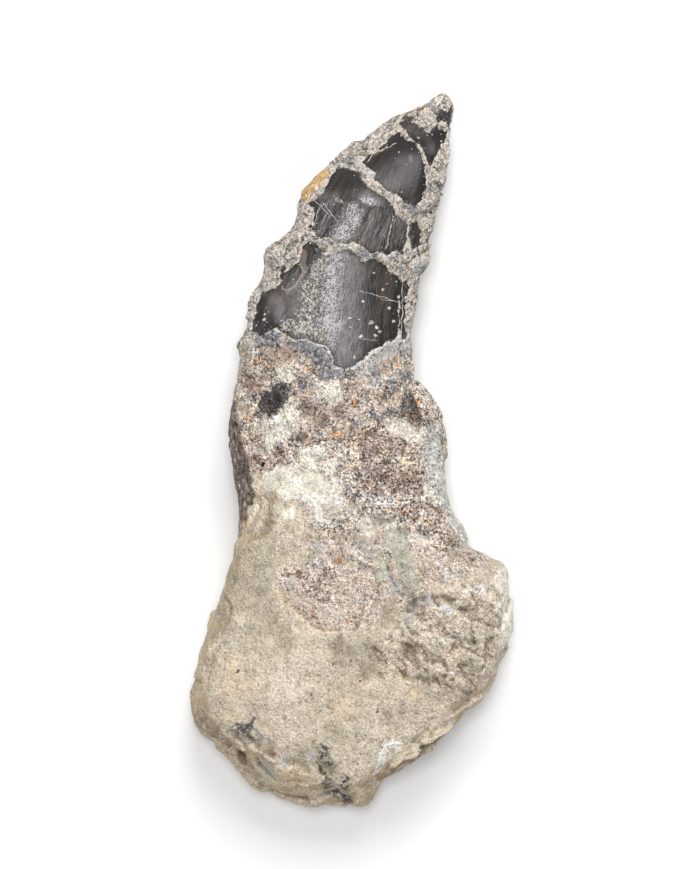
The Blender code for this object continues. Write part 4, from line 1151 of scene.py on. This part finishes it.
        (3.4, 6.4, 0.4), (18.6, -31.6, 1.0), (25.8, -27.8, 0.7), (20.0, -54.2, 1.4), (18.0, -55.4, 1.0),
    ],
    "pink": [
        [(-13.8, -24.6), (-14.0, -27.0), (-12.4, -30.4), (-9.4, -32.4), (-5.4, -35.8), (1.0, -35.6),
            (2.4, -32.6), (3.0, -28.4), (1.4, -24.4), (-5.0, -21.6)],
        (22.6, -35.4, 3.6), (27.0, -41.4, 2.6), (14.6, -35.6, 2.6), (19.4, -39.6, 2.6), (25.4, -46.0, 2.4),
        (16.6, -32.6, 2.4), (20.0, -34.6, 2.4), (24.6, -33.6, 2.2), (18.8, -43.0, 1.8), (-8.6, -19.0, 2.4),
        (-3.2, -17.2, 3.0), (3.2, -11.6, 3.2), (17.2, -25.6, 3.4), (21.6, -27.6, 3.4), (-12.6, -46.6, 5.6),
        (-9.2, -42.0, 4.0), (17.4, -53.0, 3.0), (-12.0, -52.0, 5.4), (-9.4, -56.0, 3.0), (26.0, -30.4, 3.0),
        (-13.0, -24.0, 1.8), (-1.0, -26.6, 3.0), (-6.0, -33.0, 4.0), (16.2, -19.0, 2.4),
        (-10.4, -27.4, 3.0), (5.0, -55.0, 4.0),
    ],
    "ochre": [(-21.9, -60.2, 1.9), (-19.2, -60.9, 2.0), (-11.7, -65.3, 2.8), (-8.6, -66.4, 2.0),
        (-14.4, -66.7, 2.0), (-28.8, -51.6, 2.4), (-11.0, -67.2, 1.2), (-5.8, -66.0, 1.9),
        (-4.6, -64.6, 1.2), (-9.4, -64.8, 2.4), (-18.0, -60.0, 2.2), (-15.0, -61.0, 1.8),
        (-24.4, -52.6, 2.4), (-23.0, -47.0, 4.6), (-23.6, -42.6, 3.0), (30.2, -26.4, 1.4),
        (30.9, -30.0, 1.2), (30.6, -34.0, 1.2), (18.0, -40.8, 1.6), (-11.6, 18.6, 2.4), (-1.2, 13.6, 1.0),
        (0.8, -46.8, 2.6), (-1.8, -51.0, 3.0), (4.6, -39.4, 0.9), (10.8, 67.0, 1.6), (14.4, 68.0, 1.4),
        (-12.0, -59.0, 1.4), (11.4, -1.4, 1.6), (4.0, -45.0, 1.4), (15.2, 38.9, 1.0), (21.0, 61.0, 0.9),
        (21.6, 66.0, 0.8), (1.6, -67.6, 2.0), (13.6, -48.2, 2.2), (-15.6, -6.6, 1.6), (8.2, 5.9, 0.6),
        (3.6, 2.2, 0.8)],
    "olive": [
        [(-21.6, -20.0), (-19.6, -16.8), (-17.0, -14.0), (-15.0, -13.6), (-14.6, -18.0), (-14.8, -23.0),
            (-15.6, -28.0), (-19.0, -32.0), (-25.6, -33.0), (-24.6, -27.0)],
        (8.2, -13.8, 1.0), (-21.4, 19.6, 2.6), (-21.0, 15.4, 1.6), (-24.4, -35.0, 3.0), (-18.0, -34.0, 3.0),
        (-12.8, -37.0, 3.0), (-2.6, -38.4, 2.4), (-1.6, -41.6, 3.0), (2.4, -38.6, 2.6), (4.2, -43.6, 3.0),
        (24.0, -43.6, 3.0), (27.6, -38.6, 2.4), (14.4, -47.0, 2.4), (7.2, -53.0, 1.8), (-3.4, -56.0, 3.0),
        (24.6, -38.0, 1.4), (-11.8, -13.8, 1.6), (-13.4, -20.6, 1.6), (11.6, -16.6, 1.4),
        (-5.6, -62.6, 2.0), (3.6, -66.6, 1.6),
    ],
}
# Thin streaks on the front, by colour: half width and points.
STREAKS = {
    "blue": [
        (0.35, [(4.4, 6.2), (6.6, 6.9), (9.4, 7.4), (11.0, 8.6), (13.4, 8.2)]),
        (0.3, [(-20.6, -54.8), (-18.0, -56.4), (-16.2, -58.4)]),
    ],
    "ochre": [
        (0.4, [(-13.8, -25.0), (-13.6, -28.4), (-11.6, -31.2), (-9.8, -33.1), (-8.2, -34.8), (-5.6, -36.4),
            (-2.4, -36.2)]),
    ],
    "white": [
        (0.3, [(-8.6, -8.9), (-7.0, -12.4), (-5.0, -14.4)]),
        (0.3, [(17.0, -22.0), (19.0, -24.4), (21.6, -25.6)]),
    ],
    "grey": [(0.7, [(11.2, -35.0), (11.5, -32.2), (13.2, -30.2), (16.4, -29.6)])],
    "soot": [
        (0.4, [(-20.6, -54.6), (-18.8, -52.8)]),
        (0.5, [(-5.9, -60.6), (-6.0, -62.2), (-5.4, -64.2), (-4.2, -66.2)]),
        (0.55, [(-0.7, -65.6), (-0.9, -67.2)]), (0.5, [(-21.0, -56.4), (-18.6, -57.4)]),
    ],
}
# Right-hand side of the dark bark-like strip on the left flank: Y, X.
BARK_SIDE = [(-19, -23.0), (-17, -21.8), (-13, -20.4), (-9, -18.7), (-5, -19.2), (0, -20.8), (5, -22.0),
    (10, -23.0), (13, -26.0)]
# Colours that the unseen side gets from smooth noise: size of the patches and how much of it they cover.
BACK_PATCHES = {
    "soot": (4.0, -1.3),
    "sage": (5.0, -1.2),
    "blue": (7.0, -0.8),
    "grey": (8.0, -0.7),
    # Painted shade, in random patches on the unseen side.
    "shade": (9.0, -0.5),
    "tan": (5.0, -1.2),
    "cream": (9.0, -0.45),
    "brown": (12.0, -0.35),
    "dark": (3.0, -1.05),
    "rust": (3.4, -1.1),
    "green": (11.0, -0.6),
    "white": (5.0, -1.0),
    "pink": (14.0, -0.2),
    "ochre": (8.0, -0.6),
    "olive": (16.0, -0.1),
}
# How far inside an outlined patch its colour is full.
PATCH_RISE = 1.3


def patch_share(x, y, colour):
    """How far inside this colour's patches each point lies: 1 in the middle, 0 at the edge, -1 well away."""
    share = np.full(len(x), -1.0)
    for patch in PATCHES[colour]:
        if isinstance(patch, list):
            share = np.maximum(share, np.clip(0.35 + outline_distance(x, y, patch) / PATCH_RISE, -1, 1))
        else:
            centre_x, centre_y, radius = patch
            share = np.maximum(share, 1 - np.hypot(x - centre_x, y - centre_y) / radius)
    for half_width, line in STREAKS.get(colour, []):
        share = np.maximum(share, 1 - line_distance(x, y, line) / (half_width * 1.6))
    return share


def paint(points, normal):
    """Shares of the rock's colours and of its sandy grain, named as the material reads them."""
    x, y = points[:, 0], points[:, 1]
    front = step(normal[:, 2], -0.25, 0.25)
    warp = [0.9 * noise(points, 3.0, 291 + k) + 0.7 * noise(points, 1.2, 295 + k) for k in range(2)]
    marks = {}
    for number, colour in enumerate(PATCHES):
        size, level = BACK_PATCHES[colour]
        unseen = layered(points, size, 300 + 20 * number, 3) * 1.3 + level
        seen = patch_share(x + warp[0], y + warp[1], colour)
        marks[colour] = seen * front + np.clip(unseen, -1, 1) * (1 - front)
    rough = step(outline_distance(x, y, ROUGH_BED), -1.5, 2.0)
    scar = step(outline_distance(x, y, SCAR), -0.6, 0.6)
    line = -9.0 - 5.0 * step(x, -16, -6) - 7.0 * step(x, 4, 18) + 3.5 * noise(points, 7.0, 331)
    upper = step(y, line - 5, line + 4)
    upper *= 1 - 0.75 * step(outline_distance(x + warp[0], y + warp[1], SMOOTH_BED), -0.6, 0.8) * front
    between = step(outline_distance(x + warp[0], y + warp[1], COARSE_BED), -1.5, 2.0)
    marks["sand"] = np.maximum.reduce([upper, 0.3 * rough * front, 0.75 * between * front])
    marks["coarse"] = np.maximum.reduce([upper, 0.24 * scar * front, 0.30 * rough * front,
                                         0.42 * between * front, 0.08 + 0.2 * noise(points, 6.0, 335)])
    right_edge = step(x, 20, 26) * step(y, -50, -42)
    # Painted shade: the front marked darker where it slopes away, but not near the right edge.
    marks["edge"] = (1 - upper) * (1 - step(normal[:, 2], 0.45, 0.93)) * front * (1 - right_edge)
    marks["scar"] = scar * front * (0.25 + 0.75 * step(areas(x, y, SCAR_SPECKLES), -0.3, 0.5))
    marks["crown"] = step(y, 15.5 + 3 * noise(points, 5.0, 341), 23.0)
    bark_side = np.interp(y, *zip(*BARK_SIDE)) + 0.5 * warp[0]
    marks["flank"] = (1 - step(x, bark_side - 1.0, bark_side + 1.0)) * step(y, -19, -17)
    return marks


def add_share(marks, colour, share):
    """Puts more of a colour wherever this share of it is larger."""
    marks[colour] = np.maximum(marks[colour], share)


def mark(piece, marks):
    """Writes named numbers on an object's corners."""
    for name, values in marks.items():
        piece.data.attributes.new(name, "FLOAT", "POINT").data.foreach_set("value", values.astype(np.float32))


# ---------------------------------------------------------------- the block

# Where the block's upper edge lies on the tooth, from left to right.
PLATE_EDGE = [(-26, -22), (-23.2, -20.4), (-21.4, -16), (-18.4, -9.4), (-17.6, -5.4), (-14.5, -0.5),
    (-9.5, 2.5), (-3, 5), (4.4, 5.7), (7.6, 6.6), (10.8, 8.0), (12.6, 12.5), (14.5, 14.5), (19, 12),
    (30, 0)]
VOXEL = 0.4
# Where the root's plug is cut off inside the neck.
PLUG_TOP_Y = 12


def root_plug():
    """The root, fatter where the block grips it and thinner where it stands free, cut off at the neck."""
    points, normal = tooth_shape.points.copy(), tooth_shape.normals()
    block = matrix_shape.tree()
    rays = zip(points.tolist(), normal.tolist())
    gripped = np.array([block.ray_cast(point, way, 1.2)[0] is not None for point, way in rays])
    gripped = tooth_shape.spread(gripped, 1)
    points += normal * (-1.3 + 2.1 * step(gripped, 0.3, 0.7))[:, None]
    plug = bmesh.new()
    add_faces(plug, points, tooth_shape.faces)
    bmesh.ops.bisect_plane(
        plug, geom=plug.verts[:] + plug.edges[:] + plug.faces[:], plane_co=(0, PLUG_TOP_Y * MM, 0),
        plane_no=(0, 1, 0), clear_outer=True)
    bmesh.ops.holes_fill(plug, edges=[edge for edge in plug.edges if edge.is_boundary])
    return plug


def even_mesh(source):
    """The outside of a bmesh in metres, which is freed, as a fine even mesh."""
    data = bpy.data.meshes.new("source")
    source.to_mesh(data)
    source.free()
    holder = bpy.data.objects.new("source", data)
    bpy.context.scene.collection.objects.link(holder)
    remesh = holder.modifiers.new("Even", "REMESH")
    remesh.mode = "VOXEL"
    remesh.voxel_size = VOXEL * MM
    even = bmesh.new()
    even.from_object(holder, bpy.context.evaluated_depsgraph_get())
    bpy.data.objects.remove(holder)
    return even


def add_faces(mesh, points, faces):
    """Adds a surface with corners in millimetres to a bmesh in metres."""
    corners = [mesh.verts.new(point * MM) for point in points]
    for face in faces:
        mesh.faces.new([corners[k] for k in face])


def thin_out_edge(block):
    """Lowers the block's upper edge on to the tooth, quickly at the left and gently elsewhere."""
    x, y, z = block.points.T
    wave = 0.8 * noise(block.points, 2.4, 111) + 0.4 * noise(block.points, 0.9, 112)
    plate = outline_distance(x, y, PLATE_EDGE + [(90, -20), (90, -120), (-90, -120), (-90, -22)]) + wave
    slope = 0.35 + 0.5 * (1 - step(x, -20.0, -16.0))
    clear = 20 * np.maximum(step(plate, 3, 9), step(-y, 17, 22))
    limit = tooth_top(x, y) + np.maximum(slope * plate, -1.0) + clear
    concerned = (x < 13) & (block.normals()[:, 2] > -0.3)
    block.points[:, 2] = np.where(concerned, np.minimum(z, limit), z)


def filled_block():
    """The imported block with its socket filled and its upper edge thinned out, as a fine even mesh."""
    joined = root_plug()
    add_faces(joined, matrix_shape.points, matrix_shape.faces)
    block = Shape(even_mesh(joined))
    thin_out_edge(block)
    thinned = bmesh.new()
    add_faces(thinned, block.points, block.faces)
    return Shape(even_mesh(thinned))


# Relief of the block's front.
SCAR = [(-14.3, -23.9), (-14.6, -27.0), (-12.9, -30.6), (-9.8, -32.8), (-8.2, -34.5), (-5.6, -36.3),
    (-2.7, -36.0), (1.4, -36.0), (2.9, -32.8), (3.4, -28.4), (4.5, -25.2), (1.8, -23.9), (-2.7, -23.5),
    (-5.3, -20.8), (-8.9, -21.7), (-11.6, -22.6)]
SCAR_SPECKLES = [
    (2.2, [(-12.4, -24.2), (-9.4, -24.0), (-7.6, -26.4), (-5.6, -28.6), (-4.4, -24.4)]),
    (1.2, [(-0.8, -33.0), (1.2, -34.4)]), (1.2, [(-9.6, -31.4), (-7.0, -34.4)]),
    (1.0, [(-13.6, -26.0), (-12.6, -29.0)]),
]
SMOOTH_BED = [(-22.0, -5.6), (-17.8, -4.6), (-13.3, -3.1), (-8.7, -3.9), (-4.7, -5.4), (-1.6, -8.4),
    (-1.2, -12.0), (-4.6, -14.6), (-9.5, -17.0), (-13.0, -21.0), (-16.0, -30.0), (-40.0, -30.0)]
ROUGH_BED = [(10.7, -29.3), (15.2, -28.4), (21.9, -26.1), (28.6, -26.1), (31.4, -31.5), (31.0, -38.2),
    (28.6, -44.9), (25.9, -49.3), (19.7, -48.5), (13.0, -46.7), (5.4, -45.3), (2.7, -40.4), (5.4, -36.8),
    (9.0, -35.1), (10.7, -32.8)]
COARSE_BED = [(-14.0, -8.0), (-9.0, -14.0), (-8.0, -20.0), (-14.0, -24.0), (-12.0, -30.0), (2.0, -37.0),
    (12.0, -31.0), (16.0, -28.0), (26.0, -24.0), (30.0, -26.0), (26.0, -20.0), (20.0, -14.0), (14.0, -6.0)]
LOWER_LEDGE = [(30.0, -52.0), (23.5, -55.5), (19.7, -56.9), (16.5, -58.1), (13.9, -58.9), (13.0, -61.0),
    (10.7, -62.3), (8.5, -64.1), (6.3, -66.3), (4.7, -68.5), (3.6, -74.0), (30.0, -74.0)]
# Height of the top along that ledge: X, Z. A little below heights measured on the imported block, the two end
# ones guessed.
LEDGE_HEIGHT = [(3.5, 15.6), (5.5, 17.0), (7.4, 18.2), (9.6, 18.9), (15.2, 19.1), (18.1, 18.3),
                (20.6, 17.0), (22.6, 15.4), (25.0, 13.0)]
# Beyond this line the lower left corner is broken down and lumpy.
SHOULDER = [(-36.0, -50.0), (-27.0, -54.0), (-22.6, -56.2), (-19.4, -57.0), (-16.6, -59.4), (-12.0, -60.6),
    (-8.0, -62.4), (-5.6, -65.4), (-3.0, -67.6), (1.0, -69.0), (1.0, -80.0), (-40.0, -80.0)]
BLOCK_CRACKS = [
    (0.7, 0.45, [(11.4, -35.0), (11.4, -32.2), (12.2, -30.6), (13.4, -29.8), (15.7, -29.2), (18.8, -29.2),
                 (20.1, -29.9)]),
    (1.1, 0.3, [(0.0, -40.0), (1.8, -42.6), (3.0, -45.0)]),
    (0.6, 0.32, [(9.8, -44.4), (12.5, -45.3), (15.7, -45.9), (19.2, -44.9), (20.6, -46.7), (23.2, -48.5),
                 (25.9, -48.9), (27.8, -47.6)]),
    (0.5, 0.28, [(20.1, -39.1), (22.3, -39.1), (24.6, -40.4), (24.1, -42.4), (21.5, -43.1)]),
    (0.5, 0.28, [(17.4, -34.6), (19.2, -36.9), (21.9, -37.9), (26.4, -38.4)]),
    (0.4, 0.35, [(15.2, -41.7), (18.3, -42.2), (19.6, -44.0)]),
    (0.35, 0.35, [(7.4, -23.0), (8.5, -26.1), (10.6, -29.2)]),
    (0.3, 0.3, [(-16.9, -9.4), (-15.6, -10.6), (-14.6, -11.0)]),
    (0.35, 0.3, [(1.6, -22.4), (4.4, -23.4), (5.2, -26.0)]),
    (0.5, 0.45, [(-24.0, -60.6), (-22.6, -59.4), (-20.8, -59.2), (-19.2, -60.6)]),
]
BLOCK_LUMPS = [(-17.4, -31.0, 5.0, -0.5), (-15.1, -34.6, 4.0, -0.4), (-1.8, -39.6, 5.0, -0.5),
    (4.2, -42.4, 5.0, -0.7), (8.0, -34.0, 3.5, -0.4), (13.2, -31.0, 3.0, -0.6), (18.2, -31.8, 3.2, 0.5),
    (23.4, -35.2, 4.0, 0.5), (17.0, -38.4, 3.4, 0.4), (26.6, -43.4, 4.0, 0.5), (12.2, -40.6, 3.4, -0.5),
    (21.8, -41.2, 2.4, 0.4), (16.8, -44.2, 2.6, 0.5), (22.6, -46.6, 2.4, 0.5), (-21.4, -61.6, 2.4, -1.2),
    (-14.6, -62.6, 3.4, 0.6), (-8.4, -60.8, 4.6, -0.6), (-4.2, -64.6, 3.6, -0.8), (12.4, -25.4, 2.4, 0.25),
    (8.6, -18.6, 3.4, 0.35), (20.6, -22.8, 3.4, 0.5), (25.8, -23.6, 2.6, 0.4), (-5.2, -11.0, 5.0, 0.4),
    (5.0, -13.4, 4.6, -0.4), (-11.6, -15.0, 5.0, 0.4)]
# How far the right side of the block moves outwards at each Y.
NECK_SIDE = [(-2.0, 0.0), (3.0, 0.8), (8.0, 0.9), (10.5, 0.0), (12.0, -0.8), (14.0, -0.9), (15.5, -0.5)]


def grain_relief(block, normal, side):
    """Height of the block's waves, chips and grain."""
    points, y = block.points, block.points[:, 1]
    sandy = paint(points, normal)["coarse"]
    relief = 0.30 * layered(points, 9.0, 101, 3) + 0.13 * layered(points, 2.2, 103, 3)
    chips = facets(points, 8.0, 0.14, 121) + facets(points, 3.5, 0.07, 131)
    relief += side * block.spread(chips, 2) * (0.4 + 0.6 * step(-y, 18, 30))
    grainy = 0.08 + 0.62 * np.clip(sandy, 0, 1) ** 1.5
    return relief + granular(points, 141) * grainy * (1 - 0.5 * step(-y, 14, 24))


def bed_relief(points):
    """Height of the front's lumps and cracks, the sunk scar and the rough bed."""
    x, y, z = points.T
    drop = 1.5 * bumps(x, y, BLOCK_LUMPS) + cracks(x, y, BLOCK_CRACKS)
    scar = ragged_distance(points, SCAR, 0.4, 1.5, 151)
    drop -= 0.55 * step(scar, -0.15, 0.35) * (1 - step(y, -36, -24))
    ridged = np.column_stack([0.38 * (x - y), 0.7 * (x + y), 0.3 * z])
    ridges = facets(ridged, 3.0, 0.24, 161) + facets(ridged * 1.2, 1.4, 0.20, 163)
    ridges += 0.12 * layered(points, 2.2, 165, 3)
    return drop + step(outline_distance(x, y, ROUGH_BED), -1.0, 2.0) * ridges


def shoulder_relief(block, shoulder, side):
    """Height of the lumps on the broken shoulder at the lower left."""
    points = block.points
    broken = step(shoulder, 0.0, 2.0) * step(points[:, 2], 2, 8)
    lumps = facets(points, 5.0, 0.20, 185) + facets(points, 2.4, 0.07, 187)
    lumps += 0.45 * layered(points, 3.6, 191, 2)
    return broken * (1 - 0.8 * side) * (block.spread(lumps, 4) + 0.7 * noise(points, 7.0, 193) - 0.3)


def ledge_top(points, below):
    """Height of the ledge at the lower right, before and beyond its edge."""
    shelf = np.interp(points[:, 0], *zip(*LEDGE_HEIGHT)) - 3.2 * step(below, -0.2, 0.5)
    return shelf - 0.3 * np.maximum(below, 0) + 0.5 * noise(points * (1, 1, 0), 2.5, 195)


def block_piece(material):
    """The siltstone block, its broken faces and the edge that thins out onto the tooth."""
    block = filled_block()
    points = block.spread(block.points, 8)
    points[:, 2] = np.maximum(points[:, 2], 0.0)
    points[:, 0] += np.interp(points[:, 1], *zip(*NECK_SIDE)) * step(points[:, 0], 10.5, 15)
    block.points = points
    normal = block.normals()
    x, z = points[:, 0], points[:, 2]
    front = step(normal[:, 2], 0.35, 0.75)
    side = 1 - step(np.abs(normal[:, 2]), 0.55, 0.9)
    relief = grain_relief(block, normal, side)
    drop = bed_relief(points)
    below = ragged_distance(points, LOWER_LEDGE, 0.5, 3.0, 171)
    shoulder = ragged_distance(points, SHOULDER, 0.8, 5.0, 181)
    relief += shoulder_relief(block, shoulder, side)
    crease = 0.5 * hill(shoulder, 1.4, 1.6) * step(z, 6, 14)
    ledge = step(below, -2.2, -0.8) * step(normal[:, 2], 0.02, 0.16) * step(z, 3.0, 6.0) * step(x, 5.5, 8.5)
    shelf = ledge_top(points, below)
    block.points = points + normal * relief[:, None]
    block.points[:, 2] += drop * front - crease
    block.points[:, 2] += (shelf - block.points[:, 2]) * ledge
    block.points[:, 2] = np.maximum(block.points[:, 2], 0.0)
    made = make_piece("siltstone_block", block.points, block.faces, material)
    marks = paint(block.points, block.normals())
    shape = relief + drop * front - crease
    # Painted shade in low places and in the crease under the ledge's edge, for the material to darken.
    sunk = block.spread(block.points[:, 2], 30) - block.points[:, 2]
    marks["hollow"] = block.spread(shape, 6) - shape
    marks["hollow"] += np.clip(0.5 * sunk, -0.1, 0.08) * front + 0.26 * hill(below, 0.25, 0.4) * ledge
    # Painted shade on the slab beyond the ledge and along the shoulder's crease.
    add_share(marks, "shade", step(below, 0.2, 0.9) * 0.34)
    add_share(marks, "shade", 0.34 * hill(shoulder, 1.2, 1.8) * (0.6 + noise(block.points, 4.0, 197)))
    mark(made, marks)
    return made


# ---------------------------------------------------------------- the pieces

rock = rock_material("rock")
enamel = enamel_piece(enamel_material())
crust = crust_piece(rock)
block = block_piece(rock)
grit = marks_piece("grit_on_enamel", grit_material("grit", *GRIT_COLOURS),
                   [enamel], SPECKS + stray_specks(), VEINS, 411)
chalk = marks_piece("chalk_marks", grit_material("chalk", *CHALK_COLOURS),
                    [crust, block], [], CHALK_MARKS, 451)
for piece in (enamel, crust, block, grit, chalk):
    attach(piece, "root")
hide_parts("tooth")
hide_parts("matrix")

# ---------------------------------------------------------------- floor, camera and light

# Metres, as Blender takes them.
FLOOR_DROP = 0.0005
FLOOR_SIZE = 4
PICTURE_WIDTH = 0.14
CAMERA_HEIGHT = 1.2
PICTURE_MIDDLE_Y = 0.003


def floor_material():
    g = Graph("floor")
    cloud = g.noise(300.0, 2.0)
    colour = g.ramp(cloud, [(0.3, (0.90, 0.90, 0.90)), (0.7, (0.92, 0.92, 0.92))])
    return g.finish(colour, g.sum((cloud, 0.1), 0.8), g.bump(cloud, 0.01))


def soft_light(name, place, size, power):
    """A square light aimed at the middle of the model."""
    light = bpy.data.lights.new(name, "AREA")
    light.size = size
    light.energy = power
    holder = bpy.data.objects.new(name, light)
    holder.location = place
    holder.rotation_euler = (Vector((0, 0, 0.01)) - Vector(place)).to_track_quat("-Z", "Y").to_euler()
    bpy.context.scene.collection.objects.link(holder)


bpy.ops.mesh.primitive_plane_add(size=FLOOR_SIZE, location=(0, 0, -FLOOR_DROP))
floor = bpy.context.object
floor.name = "floor"
floor.data.materials.append(floor_material())

soft_light("overhead", (-0.05, 0.10, 1.45), 0.40, 9.0)
soft_light("key", (0.14, 0.78, 0.85), 0.60, 9.0)
world = bpy.data.worlds.new("world")
world.use_nodes = True
world.node_tree.nodes["Background"].inputs["Color"].default_value = (1, 1, 1, 1)
world.node_tree.nodes["Background"].inputs["Strength"].default_value = 0.42
bpy.context.scene.world = world

lens = bpy.data.cameras.new("camera")
lens.sensor_fit = "HORIZONTAL"
lens.sensor_width = 36
lens.lens = lens.sensor_width * CAMERA_HEIGHT / PICTURE_WIDTH
lens.clip_end = 10
camera = bpy.data.objects.new("camera", lens)
camera.location = (0, PICTURE_MIDDLE_Y, 0.012 + CAMERA_HEIGHT)
bpy.context.scene.collection.objects.link(camera)
bpy.context.scene.camera = camera
bpy.context.scene.view_settings.view_transform = "Standard"
